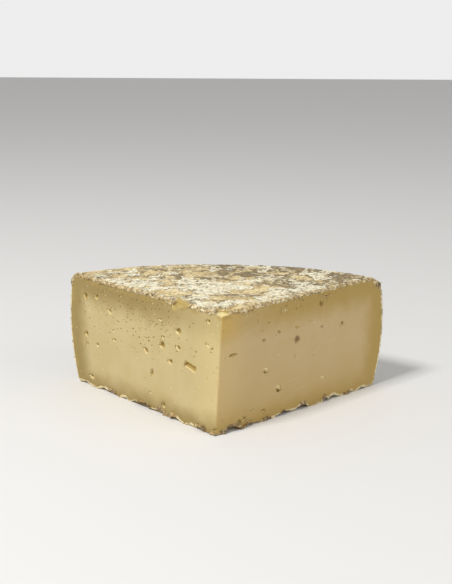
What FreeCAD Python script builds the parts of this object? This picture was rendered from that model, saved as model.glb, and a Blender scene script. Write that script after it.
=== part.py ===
"""A quarter of a small pressed mountain cheese, cut from the wheel with two upright knife cuts.

The two cuts meet at a right angle on the wheel's own axis.  The rim is bowed, the top is very
slightly crowned, and the rim's upper shoulder is tight at one cut and soft at the other, as on a
wheel that has sagged unevenly on its shelf.  Fermentation eyes open in both cut faces, a flake of
rind is missing from one of them, and the knife has broken off the top of the sharp corner.

Frame: millimetres, +Z up, the base on z = 0.  The sharp corner points to -Y, and the origin is
under the middle of the piece's bounding box.
"""

import FreeCAD, Part  # noqa: E401  FreeCAD has to be loaded before Part

import math
import os

import Sketcher

NODE = "cheese"
LEFT, RIGHT = -1, 1

SIZES = {
    # The wheel that the quarter was cut from.
    "wheel_radius": 101.0,
    "wheel_height": 51.0,
    "cut_angle": 90.0,
    # The rim bows outwards and is widest above its middle.
    "widest_height": 29.0,
    "rim_bow": 88.0,
    # The top falls by this much from the axis to the wheel's radius.
    "crown_fall": 1.4,
    # The rounding where the rim meets the top, at each cut, and where it meets the base.
    "shoulder_left": 3.5,
    "shoulder_right": 7.0,
    "foot_round": 1.8,
    # The flake of rind and paste missing from the left cut's upper edge.
    "chip_along": 25.5,
    "chip_width": 7.0,
    "chip_drop": 4.4,
    "chip_depth": 2.2,
    # The broken top of the sharp corner: how far it reaches back and down.
    "break_back": 2.6,
    "break_down": 4.2,
}

# Each eye: the cut it opens in, its distance from the sharp corner, its height above the base,
# how long and how high its mouth is, and how far it leans from level, in degrees.
EYES = {
    "slit": (LEFT, 17.0, 25.2, 6.8, 2.5, -10.0),
    "upper": (LEFT, 24.5, 38.4, 3.0, 2.2, 0.0),
    "middle": (LEFT, 34.9, 30.4, 3.0, 2.4, 20.0),
    "below_middle": (LEFT, 29.7, 24.6, 2.6, 2.0, 0.0),
    "inner": (LEFT, 24.5, 31.5, 2.8, 1.7, -15.0),
    "outer": (LEFT, 45.7, 25.7, 3.2, 1.9, -30.0),
    "foot": (LEFT, 34.2, 4.6, 2.2, 3.0, 15.0),
    "rim_top": (LEFT, 88.7, 41.5, 2.8, 1.8, -40.0),
    "rim_middle": (LEFT, 88.6, 24.0, 2.4, 2.2, 0.0),
    "round": (RIGHT, 26.5, 22.1, 2.6, 3.4, 20.0),
    "large": (RIGHT, 33.7, 12.6, 3.2, 4.4, 25.0),
    "crease": (RIGHT, 7.7, 32.5, 3.6, 1.6, 0.0),
    "low": (RIGHT, 25.1, 4.6, 1.8, 1.4, 0.0),
    "high": (RIGHT, 59.1, 44.7, 1.8, 2.4, -15.0),
    "shallow": (RIGHT, 37.7, 45.6, 2.6, 1.8, 0.0),
}
EYE_FIELDS = ("along", "height", "length", "rise")
# An eye is about as deep as its mouth is high.
EYE_DEPTH_SHARE = 0.9
# The block that breaks the corner reaches past the break by this many times its size.
BLOCK_SPAN = 2
# Two heights that differ by less than this are level.
LEVEL_TOLERANCE = 0.001
# The wheel's axis lies this far in front of the origin.
AXIS_SETBACK = "sizes.wheel_radius / 2"


def make_sheet(doc):
    """The driving dimensions, one aliased cell each."""
    sheet = doc.addObject("Spreadsheet::Sheet", "sizes")
    cells = dict(SIZES)
    for name, (_, *values) in EYES.items():
        for field, value in zip(EYE_FIELDS, values):
            cells[f"eye_{name}_{field}"] = value
    for row, (alias, value) in enumerate(cells.items(), start=1):
        sheet.set(f"A{row}", alias)
        sheet.set(f"B{row}", str(value))
        sheet.setAlias(f"B{row}", alias)
    doc.recompute()
    return sheet


def origin_plane(body, role):
    """The body's own origin plane with that role, such as YZ_Plane."""
    return next(f for f in body.Origin.OriginFeatures if f.Role == role)


def start_outline(sizes):
    """Rough corners of the half section, near enough for the sketch's solver to settle."""
    foot = sizes.wheel_radius - sizes.widest_height**2 / (2 * sizes.rim_bow)
    above = sizes.wheel_height - sizes.widest_height
    head = sizes.wheel_radius - above**2 / (2 * sizes.rim_bow)
    crown_bow = sizes.wheel_radius**2 / (2 * sizes.crown_fall)
    rim_top = FreeCAD.Vector(head, sizes.wheel_height - sizes.crown_fall, 0)
    return {
        "axis_base": FreeCAD.Vector(0, 0, 0),
        "foot": FreeCAD.Vector(foot, 0, 0),
        "rim_top": rim_top,
        "axis_top": FreeCAD.Vector(0, sizes.wheel_height, 0),
        "rim_centre": FreeCAD.Vector(sizes.wheel_radius - sizes.rim_bow, sizes.widest_height, 0),
        "crown_centre": FreeCAD.Vector(0, sizes.wheel_height - crown_bow, 0),
        "crown_bow": crown_bow,
    }


def arc_between(centre, radius, start, end):
    """An arc about centre, anticlockwise from the direction of start to that of end."""
    angles = [math.atan2(point.y - centre.y, point.x - centre.x) for point in (start, end)]
    circle = Part.Circle(centre, FreeCAD.Vector(0, 0, 1), radius)
    return Part.ArcOfCircle(circle, *angles)


def draw_half_section(body, sizes):
    """The wheel's half section: flat base, bowed rim, crowned top and the axis."""
    sketch = body.newObject("Sketcher::SketchObject", "half_section")
    sketch.AttachmentSupport = [(origin_plane(body, "YZ_Plane"), "")]
    sketch.MapMode = "FlatFace"
    at = start_outline(sizes)
    base = sketch.addGeometry(Part.LineSegment(at["axis_base"], at["foot"]))
    rim = sketch.addGeometry(
        arc_between(at["rim_centre"], sizes.rim_bow, at["foot"], at["rim_top"])
    )
    crown = sketch.addGeometry(
        arc_between(at["crown_centre"], at["crown_bow"], at["rim_top"], at["axis_top"])
    )
    axis = sketch.addGeometry(Part.LineSegment(at["axis_top"], at["axis_base"]))

    start, end, centre, origin, vertical = 1, 2, 3, -1, -2
    rules = Sketcher.Constraint
    sketch.addConstraint(rules("Coincident", base, start, origin, start))
    sketch.addConstraint(rules("Horizontal", base))
    sketch.addConstraint(rules("Coincident", base, end, rim, start))
    sketch.addConstraint(rules("Coincident", rim, end, crown, start))
    sketch.addConstraint(rules("Coincident", crown, end, axis, start))
    sketch.addConstraint(rules("Coincident", axis, end, base, start))
    sketch.addConstraint(rules("Vertical", axis))
    sketch.addConstraint(rules("PointOnObject", crown, centre, vertical))

    driven = {
        "rim_bow": (("Radius", rim, sizes.rim_bow), "sizes.rim_bow"),
        "rim_centre_out": (
            ("DistanceX", origin, start, rim, centre, at["rim_centre"].x),
            "sizes.wheel_radius - sizes.rim_bow",
        ),
        "widest_height": (
            ("DistanceY", origin, start, rim, centre, sizes.widest_height),
            "sizes.widest_height",
        ),
        "wheel_height": (("DistanceY", axis, end, axis, start, sizes.wheel_height),
                         "sizes.wheel_height"),
        "crown_bow": (
            ("Radius", crown, at["crown_bow"]),
            "sizes.wheel_radius ^ 2 / (2 * sizes.crown_fall)",
        ),
    }
    for name, (rule, expression) in driven.items():
        index = sketch.addConstraint(rules(*rule))
        sketch.renameConstraint(index, name)
        sketch.setExpression(f"Constraints.{name}", expression)
    return sketch


def turn_quarter(doc, sizes):
    """The plain quarter: the half section turned about the wheel's axis, its middle along +Y."""
    body = doc.addObject("PartDesign::Body", "quarter")
    sketch = draw_half_section(body, sizes)
    turned = body.newObject("PartDesign::Revolution", "turned")
    turned.Profile = sketch
    turned.ReferenceAxis = (sketch, ["V_Axis"])
    turned.Midplane = True
    turned.setExpression("Angle", "sizes.cut_angle")
    sketch.Visibility = False
    body.setExpression("Placement.Base.y", f"-{AXIS_SETBACK}")
    doc.recompute()
    return body


def rim_edges(shape, sizes):
    """Numbers of the rim's upper and lower edges, and whether the upper one starts at the left cut."""
    found = {}
    for number, edge in enumerate(shape.Edges, start=1):
        box = edge.BoundBox
        level = box.ZLength < LEVEL_TOLERANCE
        wide = box.XLength > sizes.wheel_radius
        if level and wide:
            found["foot" if box.ZMax < sizes.wheel_height / 2 else "shoulder"] = number
    shoulder = shape.Edges[found["shoulder"] - 1]
    starts_left = shoulder.valueAt(shoulder.FirstParameter).x < 0
    return found, starts_left


def round_rim(doc, body, sizes):
    """The rim's roundings: the upper one grows from one cut to the other."""
    rounded = doc.addObject("Part::Fillet", "rounded")
    rounded.Base = body
    edges, starts_left = rim_edges(body.Shape, sizes)
    ends = [sizes.shoulder_left, sizes.shoulder_right]
    if not starts_left:
        ends.reverse()
    rounded.Edges = [
        (edges["shoulder"], *ends),
        (edges["foot"], sizes.foot_round, sizes.foot_round),
    ]
    body.Visibility = False
    return rounded


def place_on_cut(feature, sizes, side, along, height, lean=0.0):
    """Puts a cutter's middle on a cut face, its own x along the cut and its y across it."""
    heading = 90 - side * sizes.cut_angle / 2
    turned = FreeCAD.Rotation(FreeCAD.Vector(0, 0, 1), heading)
    leaned = FreeCAD.Rotation(FreeCAD.Vector(0, 1, 0), lean)
    feature.Placement.Rotation = turned.multiply(leaned)
    half = "sizes.cut_angle * 1 deg / 2"
    feature.setExpression("Placement.Base.x", f"{side} * {along} * sin({half})")
    feature.setExpression("Placement.Base.y", f"{along} * cos({half}) - {AXIS_SETBACK}")
    feature.setExpression("Placement.Base.z", height)


def make_eyes(doc, sizes):
    """One flattened ball for each eye, its middle on the cut face."""
    eyes = []
    for name, (side, _, _, _, _, lean) in EYES.items():
        eye = doc.addObject("Part::Ellipsoid", f"eye_{name}")
        cell = f"sizes.eye_{name}"
        eye.setExpression("Radius2", f"{cell}_length / 2")
        eye.setExpression("Radius1", f"{cell}_rise / 2")
        eye.setExpression("Radius3", f"{cell}_rise * {EYE_DEPTH_SHARE}")
        place_on_cut(eye, sizes, side, f"{cell}_along", f"{cell}_height", lean)
        eyes.append(eye)
    return eyes


def make_chip(doc, sizes):
    """The missing flake: a shallow scoop with its middle on the left cut's upper edge."""
    chip = doc.addObject("Part::Ellipsoid", "chip")
    chip.setExpression("Radius2", "sizes.chip_width / 2")
    chip.setExpression("Radius1", "sizes.chip_drop")
    chip.setExpression("Radius3", "sizes.chip_depth")
    place_on_cut(chip, sizes, LEFT, "sizes.chip_along", "sizes.wheel_height")
    return chip


def make_corner_break(doc):
    """A block whose lower face is the slanting plane that takes off the sharp corner's top."""
    block = doc.addObject("Part::Box", "corner_break")
    # The angle given here only sets the axis: the expression below replaces it.
    block.Placement.Rotation = FreeCAD.Rotation(FreeCAD.Vector(1, 0, 0), 1)
    for place, expression in {
        "Length": f"2 * {BLOCK_SPAN} * sizes.break_back",
        "Width": f"{BLOCK_SPAN} * (sizes.break_back + sizes.break_down)",
        "Height": "sizes.break_down",
        "Placement.Base.x": f"-{BLOCK_SPAN} * sizes.break_back",
        "Placement.Base.y": f"-{AXIS_SETBACK}",
        "Placement.Base.z": "sizes.wheel_height - sizes.break_down",
        "Placement.Rotation.Angle": "atan(sizes.break_down / sizes.break_back)",
    }.items():
        block.setExpression(place, expression)
    return block


def failed_objects(doc):
    """Names of objects that recompute left failed."""
    return [o.Name for o in doc.Objects if {"Invalid", "Error"} & set(o.State)]


def main():
    doc = FreeCAD.newDocument("cheese_quarter")
    sizes = make_sheet(doc)
    body = turn_quarter(doc, sizes)
    rounded = round_rim(doc, body, sizes)
    cutters = doc.addObject("Part::MultiFuse", "cutters")
    cutters.Shapes = [*make_eyes(doc, sizes), make_chip(doc, sizes), make_corner_break(doc)]
    cheese = doc.addObject("Part::Cut", "cut_cheese")
    cheese.Base = rounded
    cheese.Tool = cutters
    cheese.Label = NODE
    doc.recompute()
    failed = failed_objects(doc)
    shape = cheese.Shape
    if failed or shape.isNull() or not shape.isValid():
        raise RuntimeError(f"the model did not build: {failed}")
    os.makedirs("parts", exist_ok=True)
    shape.exportStep(f"parts/{NODE}.step")
    box = shape.BoundBox
    print(f"{NODE}: {len(shape.Solids)} solid, {shape.Volume / 1000:.1f} cm3,", box)


main()
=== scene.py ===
# %% [markdown]
# # A quarter wheel of pressed mountain cheese
#
# The wheel was cut twice through its axis, which leaves two upright cut faces of ivory paste that
# meet in a sharp corner, and a dry mottled rind on the top, the rim and the base.
# It could be sculpted from one lump of clay-like mesh, but then the crisp cut and the crusty rind
# would share one surface. Here it is made the way the real one came about: a whole wheel is turned,
# its paste and its rind become two pieces, both are cut, and the knocks and crumbs come last.

# %% Load the construction
import math
import random

import bpy
import numpy as np
from mathutils import Euler, Matrix, Vector
from mathutils.bvhtree import BVHTree


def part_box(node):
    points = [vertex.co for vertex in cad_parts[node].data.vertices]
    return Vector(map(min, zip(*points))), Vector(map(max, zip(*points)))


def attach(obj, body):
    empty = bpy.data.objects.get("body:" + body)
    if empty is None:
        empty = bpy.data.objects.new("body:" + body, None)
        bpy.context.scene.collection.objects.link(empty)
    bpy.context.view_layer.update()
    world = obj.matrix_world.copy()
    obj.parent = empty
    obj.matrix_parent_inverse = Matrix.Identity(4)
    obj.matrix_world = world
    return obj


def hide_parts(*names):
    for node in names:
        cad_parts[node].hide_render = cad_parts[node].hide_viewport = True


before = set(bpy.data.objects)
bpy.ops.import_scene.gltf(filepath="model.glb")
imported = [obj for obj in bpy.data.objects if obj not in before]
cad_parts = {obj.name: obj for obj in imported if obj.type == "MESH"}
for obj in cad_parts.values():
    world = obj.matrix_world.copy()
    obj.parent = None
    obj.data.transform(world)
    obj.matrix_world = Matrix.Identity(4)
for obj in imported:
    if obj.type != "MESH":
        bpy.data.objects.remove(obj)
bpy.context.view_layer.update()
low, high = (Vector(corner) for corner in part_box("cheese"))

# %% [markdown]
# ## Sizes
#
# Every size is worked out from the construction's box: the sharp corner touches its front face and
# the widest part of the rim its back face, so its depth is the wheel's radius.
# The few sizes that the box can't tell, such as how far the rim bows, are written once here. A
# point that is nearer to a plane than TOUCH counts as on it.

# %% Driving sizes, in metres
MM = 0.001
wheel_radius = high.y - low.y
wheel_height = high.z - low.z
corner = Vector((0.0, low.y, low.z))
half_angle = math.asin((high.x - low.x) / 2 / wheel_radius)
RIM_BOW = 88 * MM
RIM_WIDEST = 29 * MM
CROWN_FALL = 0.9 * MM
SHOULDER_LEFT = 3.5 * MM
SHOULDER_RIGHT = 10 * MM
FOOT_ROUND = 1.8 * MM
RIND_TOP = 1.5 * MM
RIND_RIM = 0.8 * MM
RIND_BASE = 0.8 * MM
RIND_BITE = 0.3 * MM
TOUCH = 0.1 * MM
print(f"wheel radius {wheel_radius / MM:.1f} mm, height {wheel_height / MM:.1f} mm")
print(f"angle between the cuts {math.degrees(2 * half_angle):.1f} degrees")

# %% [markdown]
# A place on a cut face is given as a maker would measure it: so far along from the sharp corner
# and so high above the base. Each cut has a direction along it and one that points out of it.

# %% Places on the cuts
ALONG = {
    "left": Vector((-math.sin(half_angle), math.cos(half_angle), 0)),
    "right": Vector((math.sin(half_angle), math.cos(half_angle), 0)),
}
OUTWARD = {
    "left": Vector((-math.cos(half_angle), -math.sin(half_angle), 0)),
    "right": Vector((math.cos(half_angle), -math.sin(half_angle), 0)),
}


def on_cut(side, along, height, out=0.0):
    """The point on a cut face, along and height in millimetres, moved out of it by out."""
    return corner + ALONG[side] * along * MM + Vector((0, 0, height * MM)) + OUTWARD[side] * out * MM


print("far end of the left cut", [round(v / MM, 1) for v in on_cut("left", 101, 0)])

# %% [markdown]
# ## Working by hand, in code
#
# Operators act on whatever is selected, and the construction comes in selected, so each step first
# deselects everything. These helpers do what the mouse would: pick one object, pick some of its
# faces by their place or direction, and finish with a modifier that is applied at once.

# %% Helpers for selecting and applying
def only(obj):
    """Selects obj alone and makes it the active object."""
    bpy.ops.object.select_all(action="DESELECT")
    obj.select_set(True)
    bpy.context.view_layer.objects.active = obj


def choose(obj, kind, test):
    """Leaves obj in edit mode with the VERT, EDGE or FACE elements selected that pass the test."""
    only(obj)
    bpy.ops.object.mode_set(mode="EDIT")
    bpy.ops.mesh.select_mode(type=kind)
    bpy.ops.mesh.select_all(action="DESELECT")
    bpy.ops.object.mode_set(mode="OBJECT")
    mesh = obj.data
    elements = {"VERT": mesh.vertices, "EDGE": mesh.edges, "FACE": mesh.polygons}[kind]
    for element in elements:
        element.select = test(element)
    bpy.ops.object.mode_set(mode="EDIT")


def leave_edit():
    bpy.ops.object.mode_set(mode="OBJECT")


def modify(obj, kind, **settings):
    """Adds a modifier with these settings and applies it."""
    only(obj)
    bpy.ops.object.modifier_add(type=kind)
    modifier = obj.modifiers[-1]
    for key, value in settings.items():
        setattr(modifier, key, value)
    bpy.ops.object.modifier_apply(modifier=modifier.name)


def settle(obj):
    """Writes the object's place, turn and size into its mesh, so that it sits at the origin."""
    only(obj)
    bpy.ops.object.transform_apply(location=True, rotation=True, scale=True)


def duplicate(obj, name):
    """A copy with its own mesh."""
    copy = obj.copy()
    copy.data = obj.data.copy()
    copy.name = name
    bpy.context.collection.objects.link(copy)
    return copy


def remove(obj):
    bpy.data.objects.remove(obj)


def points_of(obj):
    """All vertex positions, one row each."""
    rows = np.empty(len(obj.data.vertices) * 3, dtype=np.float32)
    obj.data.vertices.foreach_get("co", rows)
    return rows.reshape(-1, 3).astype(float)


WEIGHT_STEPS = 50


def weigh(obj, name, weights):
    """A vertex group of that name with one weight per vertex, in small steps."""
    group = obj.vertex_groups.new(name=name)
    steps = np.round(weights * WEIGHT_STEPS).astype(int)
    for step in range(1, WEIGHT_STEPS + 1):
        rows = np.flatnonzero(steps == step)
        group.add(rows.tolist(), step / WEIGHT_STEPS, "REPLACE")
    return name


def triangles(obj):
    return sum(len(face.vertices) - 2 for face in obj.data.polygons)


print("modelling helpers ready")

# %% [markdown]
# ## The whole wheel
#
# A pressed cheese is a low drum whose rim bows out, whose top is a little domed, and whose upper
# edge is rounded. A lathe profile could be spun, but the upper edge isn't round to the same
# radius everywhere. So a cylinder is taken, rings are cut into it and resized to the rim's bow,
# and the top is inset and raised ring by ring.

# %% Turn the wheel
SIDES = 144
RING_HEIGHTS = [12 * MM, 20 * MM, 28 * MM, 35 * MM, 42 * MM]
CROWN_RINGS = [88 * MM, 70 * MM, 52 * MM, 34 * MM, 16 * MM]
UPWARD = 0.9


def rim_radius(height):
    return wheel_radius - RIM_BOW + math.sqrt(RIM_BOW**2 - (height - RIM_WIDEST) ** 2)


def crown_height(radius):
    return wheel_height - CROWN_FALL * (radius / wheel_radius) ** 2


def turn_wheel():
    middle = corner + Vector((0, 0, wheel_height / 2))
    bpy.ops.mesh.primitive_cylinder_add(
        vertices=SIDES, radius=wheel_radius, depth=wheel_height, location=middle
    )
    wheel = bpy.context.object
    wheel.name = "wheel"
    settle(wheel)
    for height in RING_HEIGHTS:
        choose(wheel, "VERT", lambda v: True)
        bpy.ops.mesh.bisect(plane_co=(0, 0, height), plane_no=(0, 0, 1))
        leave_edit()
    for height in [0.0, *RING_HEIGHTS, wheel_height]:
        choose(wheel, "VERT", lambda v, z=height: abs(v.co.z - z) < TOUCH)
        share = rim_radius(height) / wheel_radius
        bpy.ops.transform.resize(value=(share, share, 1), center_override=corner)
        leave_edit()
    choose(wheel, "FACE", lambda f: f.normal.z > UPWARD)
    radius = rim_radius(wheel_height)
    bpy.ops.transform.translate(value=(0, 0, crown_height(radius) - wheel_height))
    for ring in CROWN_RINGS:
        bpy.ops.mesh.inset(thickness=radius - ring)
        bpy.ops.transform.translate(value=(0, 0, crown_height(ring) - crown_height(radius)))
        radius = ring
    leave_edit()
    return wheel


wheel = turn_wheel()
print("turned wheel:", len(wheel.data.polygons), "faces")

# %% [markdown]
# The cheese sagged in its mould, so its upper edge is tight on the left and soft on the right. Two
# bevels would leave a step between them. One bevel takes both edges, and a weight on each edge
# scales its width, wider and wider towards the right, and narrow at the foot.

# %% Round its edges
EDGE_SEGMENTS = 7


def round_edges(wheel):
    """Rounds the upper edge and the foot with one bevel, whose width an edge weight scales."""
    mesh = wheel.data
    points = points_of(wheel)
    reach = np.hypot(points[:, 0] - corner.x, points[:, 1] - corner.y)
    turn = np.arctan2(points[:, 0] - corner.x, points[:, 1] - corner.y)
    top_ring = (reach > CROWN_RINGS[0] + 4 * MM) & (points[:, 2] > RING_HEIGHTS[-1] + 2 * MM)
    foot_ring = points[:, 2] < TOUCH
    weight = mesh.attributes.new("bevel_weight_edge", "FLOAT", "EDGE")
    for edge, value in zip(mesh.edges, weight.data):
        a, b = edge.vertices
        if top_ring[a] and top_ring[b]:
            side = min(max(0.5 + 0.5 * (turn[a] + turn[b]) / 2 / half_angle, 0), 1)
            value.value = (SHOULDER_LEFT + (SHOULDER_RIGHT - SHOULDER_LEFT) * side) / SHOULDER_RIGHT
        elif foot_ring[a] and foot_ring[b]:
            value.value = FOOT_ROUND / SHOULDER_RIGHT
    modify(wheel, "BEVEL", width=SHOULDER_RIGHT, segments=EDGE_SEGMENTS, limit_method="WEIGHT")


round_edges(wheel)
print("rounded wheel:", len(wheel.data.polygons), "faces")

# %% [markdown]
# Near the left end of the rim the foot has curled up off the shelf. The cut would show a gap there,
# so a low slanting step is taken out of the base. It starts FOOT_STEP millimetres from the corner.

# %% Lift its foot
FOOT_STEP = 86.0
FOOT_REACH = 24.0
FOOT_WIDTH = 15.0
FOOT_LIFT = 0.8 * MM
FOOT_SLOPE = math.radians(4.6)
STEP_ROUND = 0.8 * MM


def lift_foot(wheel):
    """Takes a low step out of the base at the rim end of the left cut, where the foot curls up."""
    fall = FOOT_REACH / 2 * math.tan(FOOT_SLOPE)
    bpy.ops.mesh.primitive_cube_add(size=1, location=on_cut("left", FOOT_STEP + FOOT_REACH / 2, -fall))
    step = bpy.context.object
    step.rotation_euler = (0, FOOT_SLOPE, half_angle + math.pi / 2)
    step.scale = (FOOT_REACH * MM, 2 * FOOT_WIDTH * MM, 2 * FOOT_LIFT)
    settle(step)
    choose(step, "FACE", lambda f: True)
    bpy.ops.mesh.bevel(offset=STEP_ROUND, segments=3)
    leave_edit()
    modify(wheel, "BOOLEAN", operation="DIFFERENCE", solver="EXACT", object=step)
    remove(step)


lift_foot(wheel)
print("lifted foot:", len(wheel.data.polygons), "faces")

# %% [markdown]
# The top isn't level either: it rises a millimetre or so towards the far ends of both cuts. Each
# end gets a vertex group that grows towards it, and a displace modifier that lifts the group.

# %% Raise its ends
END_RISE = {"left": 0.7, "right": 1.4}
RISE_SHARE = 0.6
RISE_FROM = 43 * MM


def end_rise(side, reach):
    """How much higher the top lies at that end, at a reach given as a share of the radius."""
    return END_RISE[side] * np.clip((1 + RISE_SHARE) * reach - RISE_SHARE, 0, 1)


def raise_ends(wheel):
    """The top isn't level: it rises a little towards both ends of the cuts."""
    points = points_of(wheel)
    reach = np.hypot(points[:, 0] - corner.x, points[:, 1] - corner.y) / wheel_radius
    turn = np.arctan2(points[:, 0] - corner.x, points[:, 1] - corner.y) / half_angle
    for side, sign in (("left", -1), ("right", 1)):
        share = np.clip(sign * turn, 0, 1) * end_rise(side, reach) / END_RISE[side]
        weigh(wheel, "raised_" + side, share * (points[:, 2] > RISE_FROM))
        rise = END_RISE[side] * MM
        modify(wheel, "DISPLACE", strength=rise, mid_level=0, direction="Z", vertex_group="raised_" + side)


raise_ends(wheel)
print("wheel:", len(wheel.data.polygons), "faces")

# %% [markdown]
# ## Paste and rind
#
# The paste is the wheel less its rind, so a copy is shrunk by the rind's thickness: almost two
# millimetres on the top and the base, under one on the rim. Both are cut with the same two planes.
# The rind bites a little into the paste, so no gap opens between them. Laying a thin sheet over the
# paste would be quicker, but it would have no thickness where it was cut through.

# %% Shrink a core and cut quarters
def shrink(wheel, name, top, rim, base):
    """A copy of the wheel that lies inside it by these depths."""
    core = duplicate(wheel, name)
    tall = (wheel_height - top - base) / wheel_height
    wide = (wheel_radius - rim) / wheel_radius
    still = corner + Vector((0, 0, base / (1 - tall)))
    choose(core, "VERT", lambda v: True)
    bpy.ops.transform.resize(value=(wide, wide, tall), center_override=still)
    leave_edit()
    return core


def cut_quarter(obj):
    """Cuts along both cut planes and closes the cuts."""
    for side in ("left", "right"):
        choose(obj, "VERT", lambda v: True)
        bpy.ops.mesh.bisect(
            plane_co=corner, plane_no=OUTWARD[side], use_fill=True, clear_outer=True
        )
        leave_edit()


paste_core = shrink(wheel, "paste_core", RIND_TOP, RIND_RIM, RIND_BASE)
rind_core = shrink(
    wheel, "rind_core", RIND_TOP + RIND_BITE, RIND_RIM + RIND_BITE, RIND_BASE + RIND_BITE
)
rind = duplicate(wheel, "rind")
cut_quarter(rind)
modify(rind, "BOOLEAN", operation="DIFFERENCE", solver="EXACT", object=rind_core)
print("rind shell:", len(rind.data.polygons), "faces")

# %% [markdown]
# ## Scattering small things
#
# Eyes, pits and crumbs are all small lumps with a place, a size and a turn. One lump is modelled
# for each kind and copied, each copy with its own mesh, and the copies are joined.

# %% Lumps and their copies
dice = random.Random(41)


def make_lump(name, detail, roughness, grain):
    """A pebble one unit across: a ball of flat faces, pushed in and out by a cloudy texture."""
    bpy.ops.mesh.primitive_ico_sphere_add(subdivisions=detail, radius=0.5)
    lump = bpy.context.object
    lump.name = name
    clouds = bpy.data.textures.new(name + "_clouds", "CLOUDS")
    clouds.noise_scale = grain
    modify(lump, "DISPLACE", texture=clouds, strength=roughness, texture_coords="LOCAL")
    return lump


def cloudy(name, size, depth=2, kind="SOFT_NOISE", colour=False):
    """A cloud texture with lumps of that size in millimetres."""
    texture = bpy.data.textures.new(name, "CLOUDS")
    texture.noise_scale = size * MM
    texture.noise_depth = depth
    texture.noise_type = kind
    texture.cloud_type = "COLOR" if colour else "GRAYSCALE"
    return texture


BLOCK_ROUND = 0.12
BLOCK_GRAIN = 0.35


def make_block(name, roughness):
    """A unit block with soft corners and uneven faces, for slits and broken facets."""
    bpy.ops.mesh.primitive_cube_add(size=1)
    block = bpy.context.object
    block.name = name
    choose(block, "EDGE", lambda e: True)
    bpy.ops.mesh.bevel(offset=BLOCK_ROUND, segments=2)
    bpy.ops.mesh.subdivide(number_cuts=4)
    leave_edit()
    clouds = cloudy(name + "_clouds", BLOCK_GRAIN / MM)
    modify(block, "DISPLACE", texture=clouds, strength=roughness, texture_coords="LOCAL")
    return block


def join(name, objects):
    """Makes one object of several; the first one keeps its groups."""
    only(objects[0])
    for obj in objects[1:]:
        obj.select_set(True)
    if len(objects) > 1:
        bpy.ops.object.join()
    objects[0].name = name
    return objects[0]


def scatter(name, lumps, places):
    """Joins copies of the lumps. A place is (position, three sizes, turn)."""
    copies = []
    for position, sizes, turn in places:
        copy = duplicate(dice.choice(lumps), name)
        matrix = Matrix.Translation(position) @ turn.to_matrix().to_4x4()
        copy.data.transform(matrix @ Matrix.Diagonal((*sizes, 1)))
        copies.append(copy)
    return join(name, copies)


def any_turn():
    return Euler([dice.uniform(0, math.tau) for _ in range(3)])


def cut_turn(side, lean, tip=0.0):
    """Turns X along a cut and Y across it, in degrees: a lean lowers the end towards the rim, and
    a tip lowers the end that points out of the cheese."""
    across, outward = {
        "left": (half_angle + math.pi / 2, 1),
        "right": (math.pi / 2 - half_angle, -1),
    }[side]
    leaned = Matrix.Rotation(math.radians(lean), 3, "Y")
    tipped = Matrix.Rotation(math.radians(-tip * outward), 3, "X")
    return (Matrix.Rotation(across, 3, "Z") @ leaned @ tipped).to_euler()


lumps = [
    make_lump("lump_round", 2, 0.35, 0.45),
    make_lump("lump_knobbly", 2, 0.7, 0.3),
    make_lump("lump_long", 2, 0.5, 0.6),
]
print("lump faces", [len(lump.data.polygons) for lump in lumps])

# %% [markdown]
# ## The cut faces
#
# A wire or a long knife leaves the paste almost flat, with a slow wave and a faint grain. To carry
# that, the cuts need many small faces, which a filled cut doesn't have. So the paste starts as a
# box with its corner on the wheel's axis: its two cut faces are divided finely, the sharp edge
# between them is worn a little, both are waved, and only then is the box cut to the turned core.

# %% Make the paste
CUT_STEPS = 96
BOX_SIDE = 1.06 * wheel_radius
BOX_HEIGHT = wheel_height * 1.02
SHARP_EDGE = 2.2


def make_paste_box():
    across = (ALONG["left"] + ALONG["right"]) * BOX_SIDE / 2
    middle = corner + across + Vector((0, 0, wheel_height / 2))
    bpy.ops.mesh.primitive_cube_add(size=1, location=middle, rotation=(0, 0, half_angle))
    box = bpy.context.object
    box.name = "paste"
    box.scale = (BOX_SIDE, BOX_SIDE, BOX_HEIGHT)
    settle(box)
    for side in ("left", "right"):
        choose(box, "VERT", lambda v: True)
        bpy.ops.mesh.bisect(plane_co=corner + ALONG[side] * BOX_SIDE / 2, plane_no=ALONG[side])
        leave_edit()
    choose(box, "FACE", lambda f: f.normal.dot(Vector((0, -1, 0))) > 0.5)
    bpy.ops.mesh.subdivide(number_cuts=CUT_STEPS)
    leave_edit()
    return box


def depths_below_cuts(points):
    """How deep each point lies below the left and the right cut plane."""
    start = points - np.array(corner)
    return [-(start @ np.array(OUTWARD[side])) for side in ("left", "right")]


paste = make_paste_box()
left_depth, right_depth = depths_below_cuts(points_of(paste))
nearest = np.minimum(left_depth, right_depth)
farthest = np.maximum(left_depth, right_depth)
weigh(paste, "cut", (nearest < TOUCH).astype(float))
weigh(paste, "edge", np.clip(SHARP_EDGE - farthest / MM, 0, 1) * (nearest < TOUCH))
modify(paste, "SMOOTH", vertex_group="edge", factor=0.5, iterations=14)
for texture, strength in (
    (cloudy("slow_wave", 17), 0.35 * MM),
    (cloudy("uneven_cut", 4), 0.14 * MM),
    (cloudy("grain_of_cut", 1.1), 0.07 * MM),
):
    modify(
        paste, "DISPLACE", texture=texture, strength=strength, texture_coords="LOCAL", vertex_group="cut"
    )
modify(paste, "BOOLEAN", operation="INTERSECT", solver="EXACT", object=paste_core)
print("paste:", len(paste.data.polygons), "faces")

# %% [markdown]
# ## Knocks
#
# The sharp corner has lost its tip, the rind over it broke off further back and left the top of
# the paste bare, and a flake is missing from the left cut's upper edge. The vertices there could be
# pushed about by hand, but a knock isn't that smooth. So each is a rough block, turned to the slope
# of the break, that is taken away. The blocks' sizes are in millimetres.
#
# An exact boolean can fail where surfaces just touch, and then it empties the piece. So every cut
# is checked, and a failed one is made again with the tool moved a hair's breadth.

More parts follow.
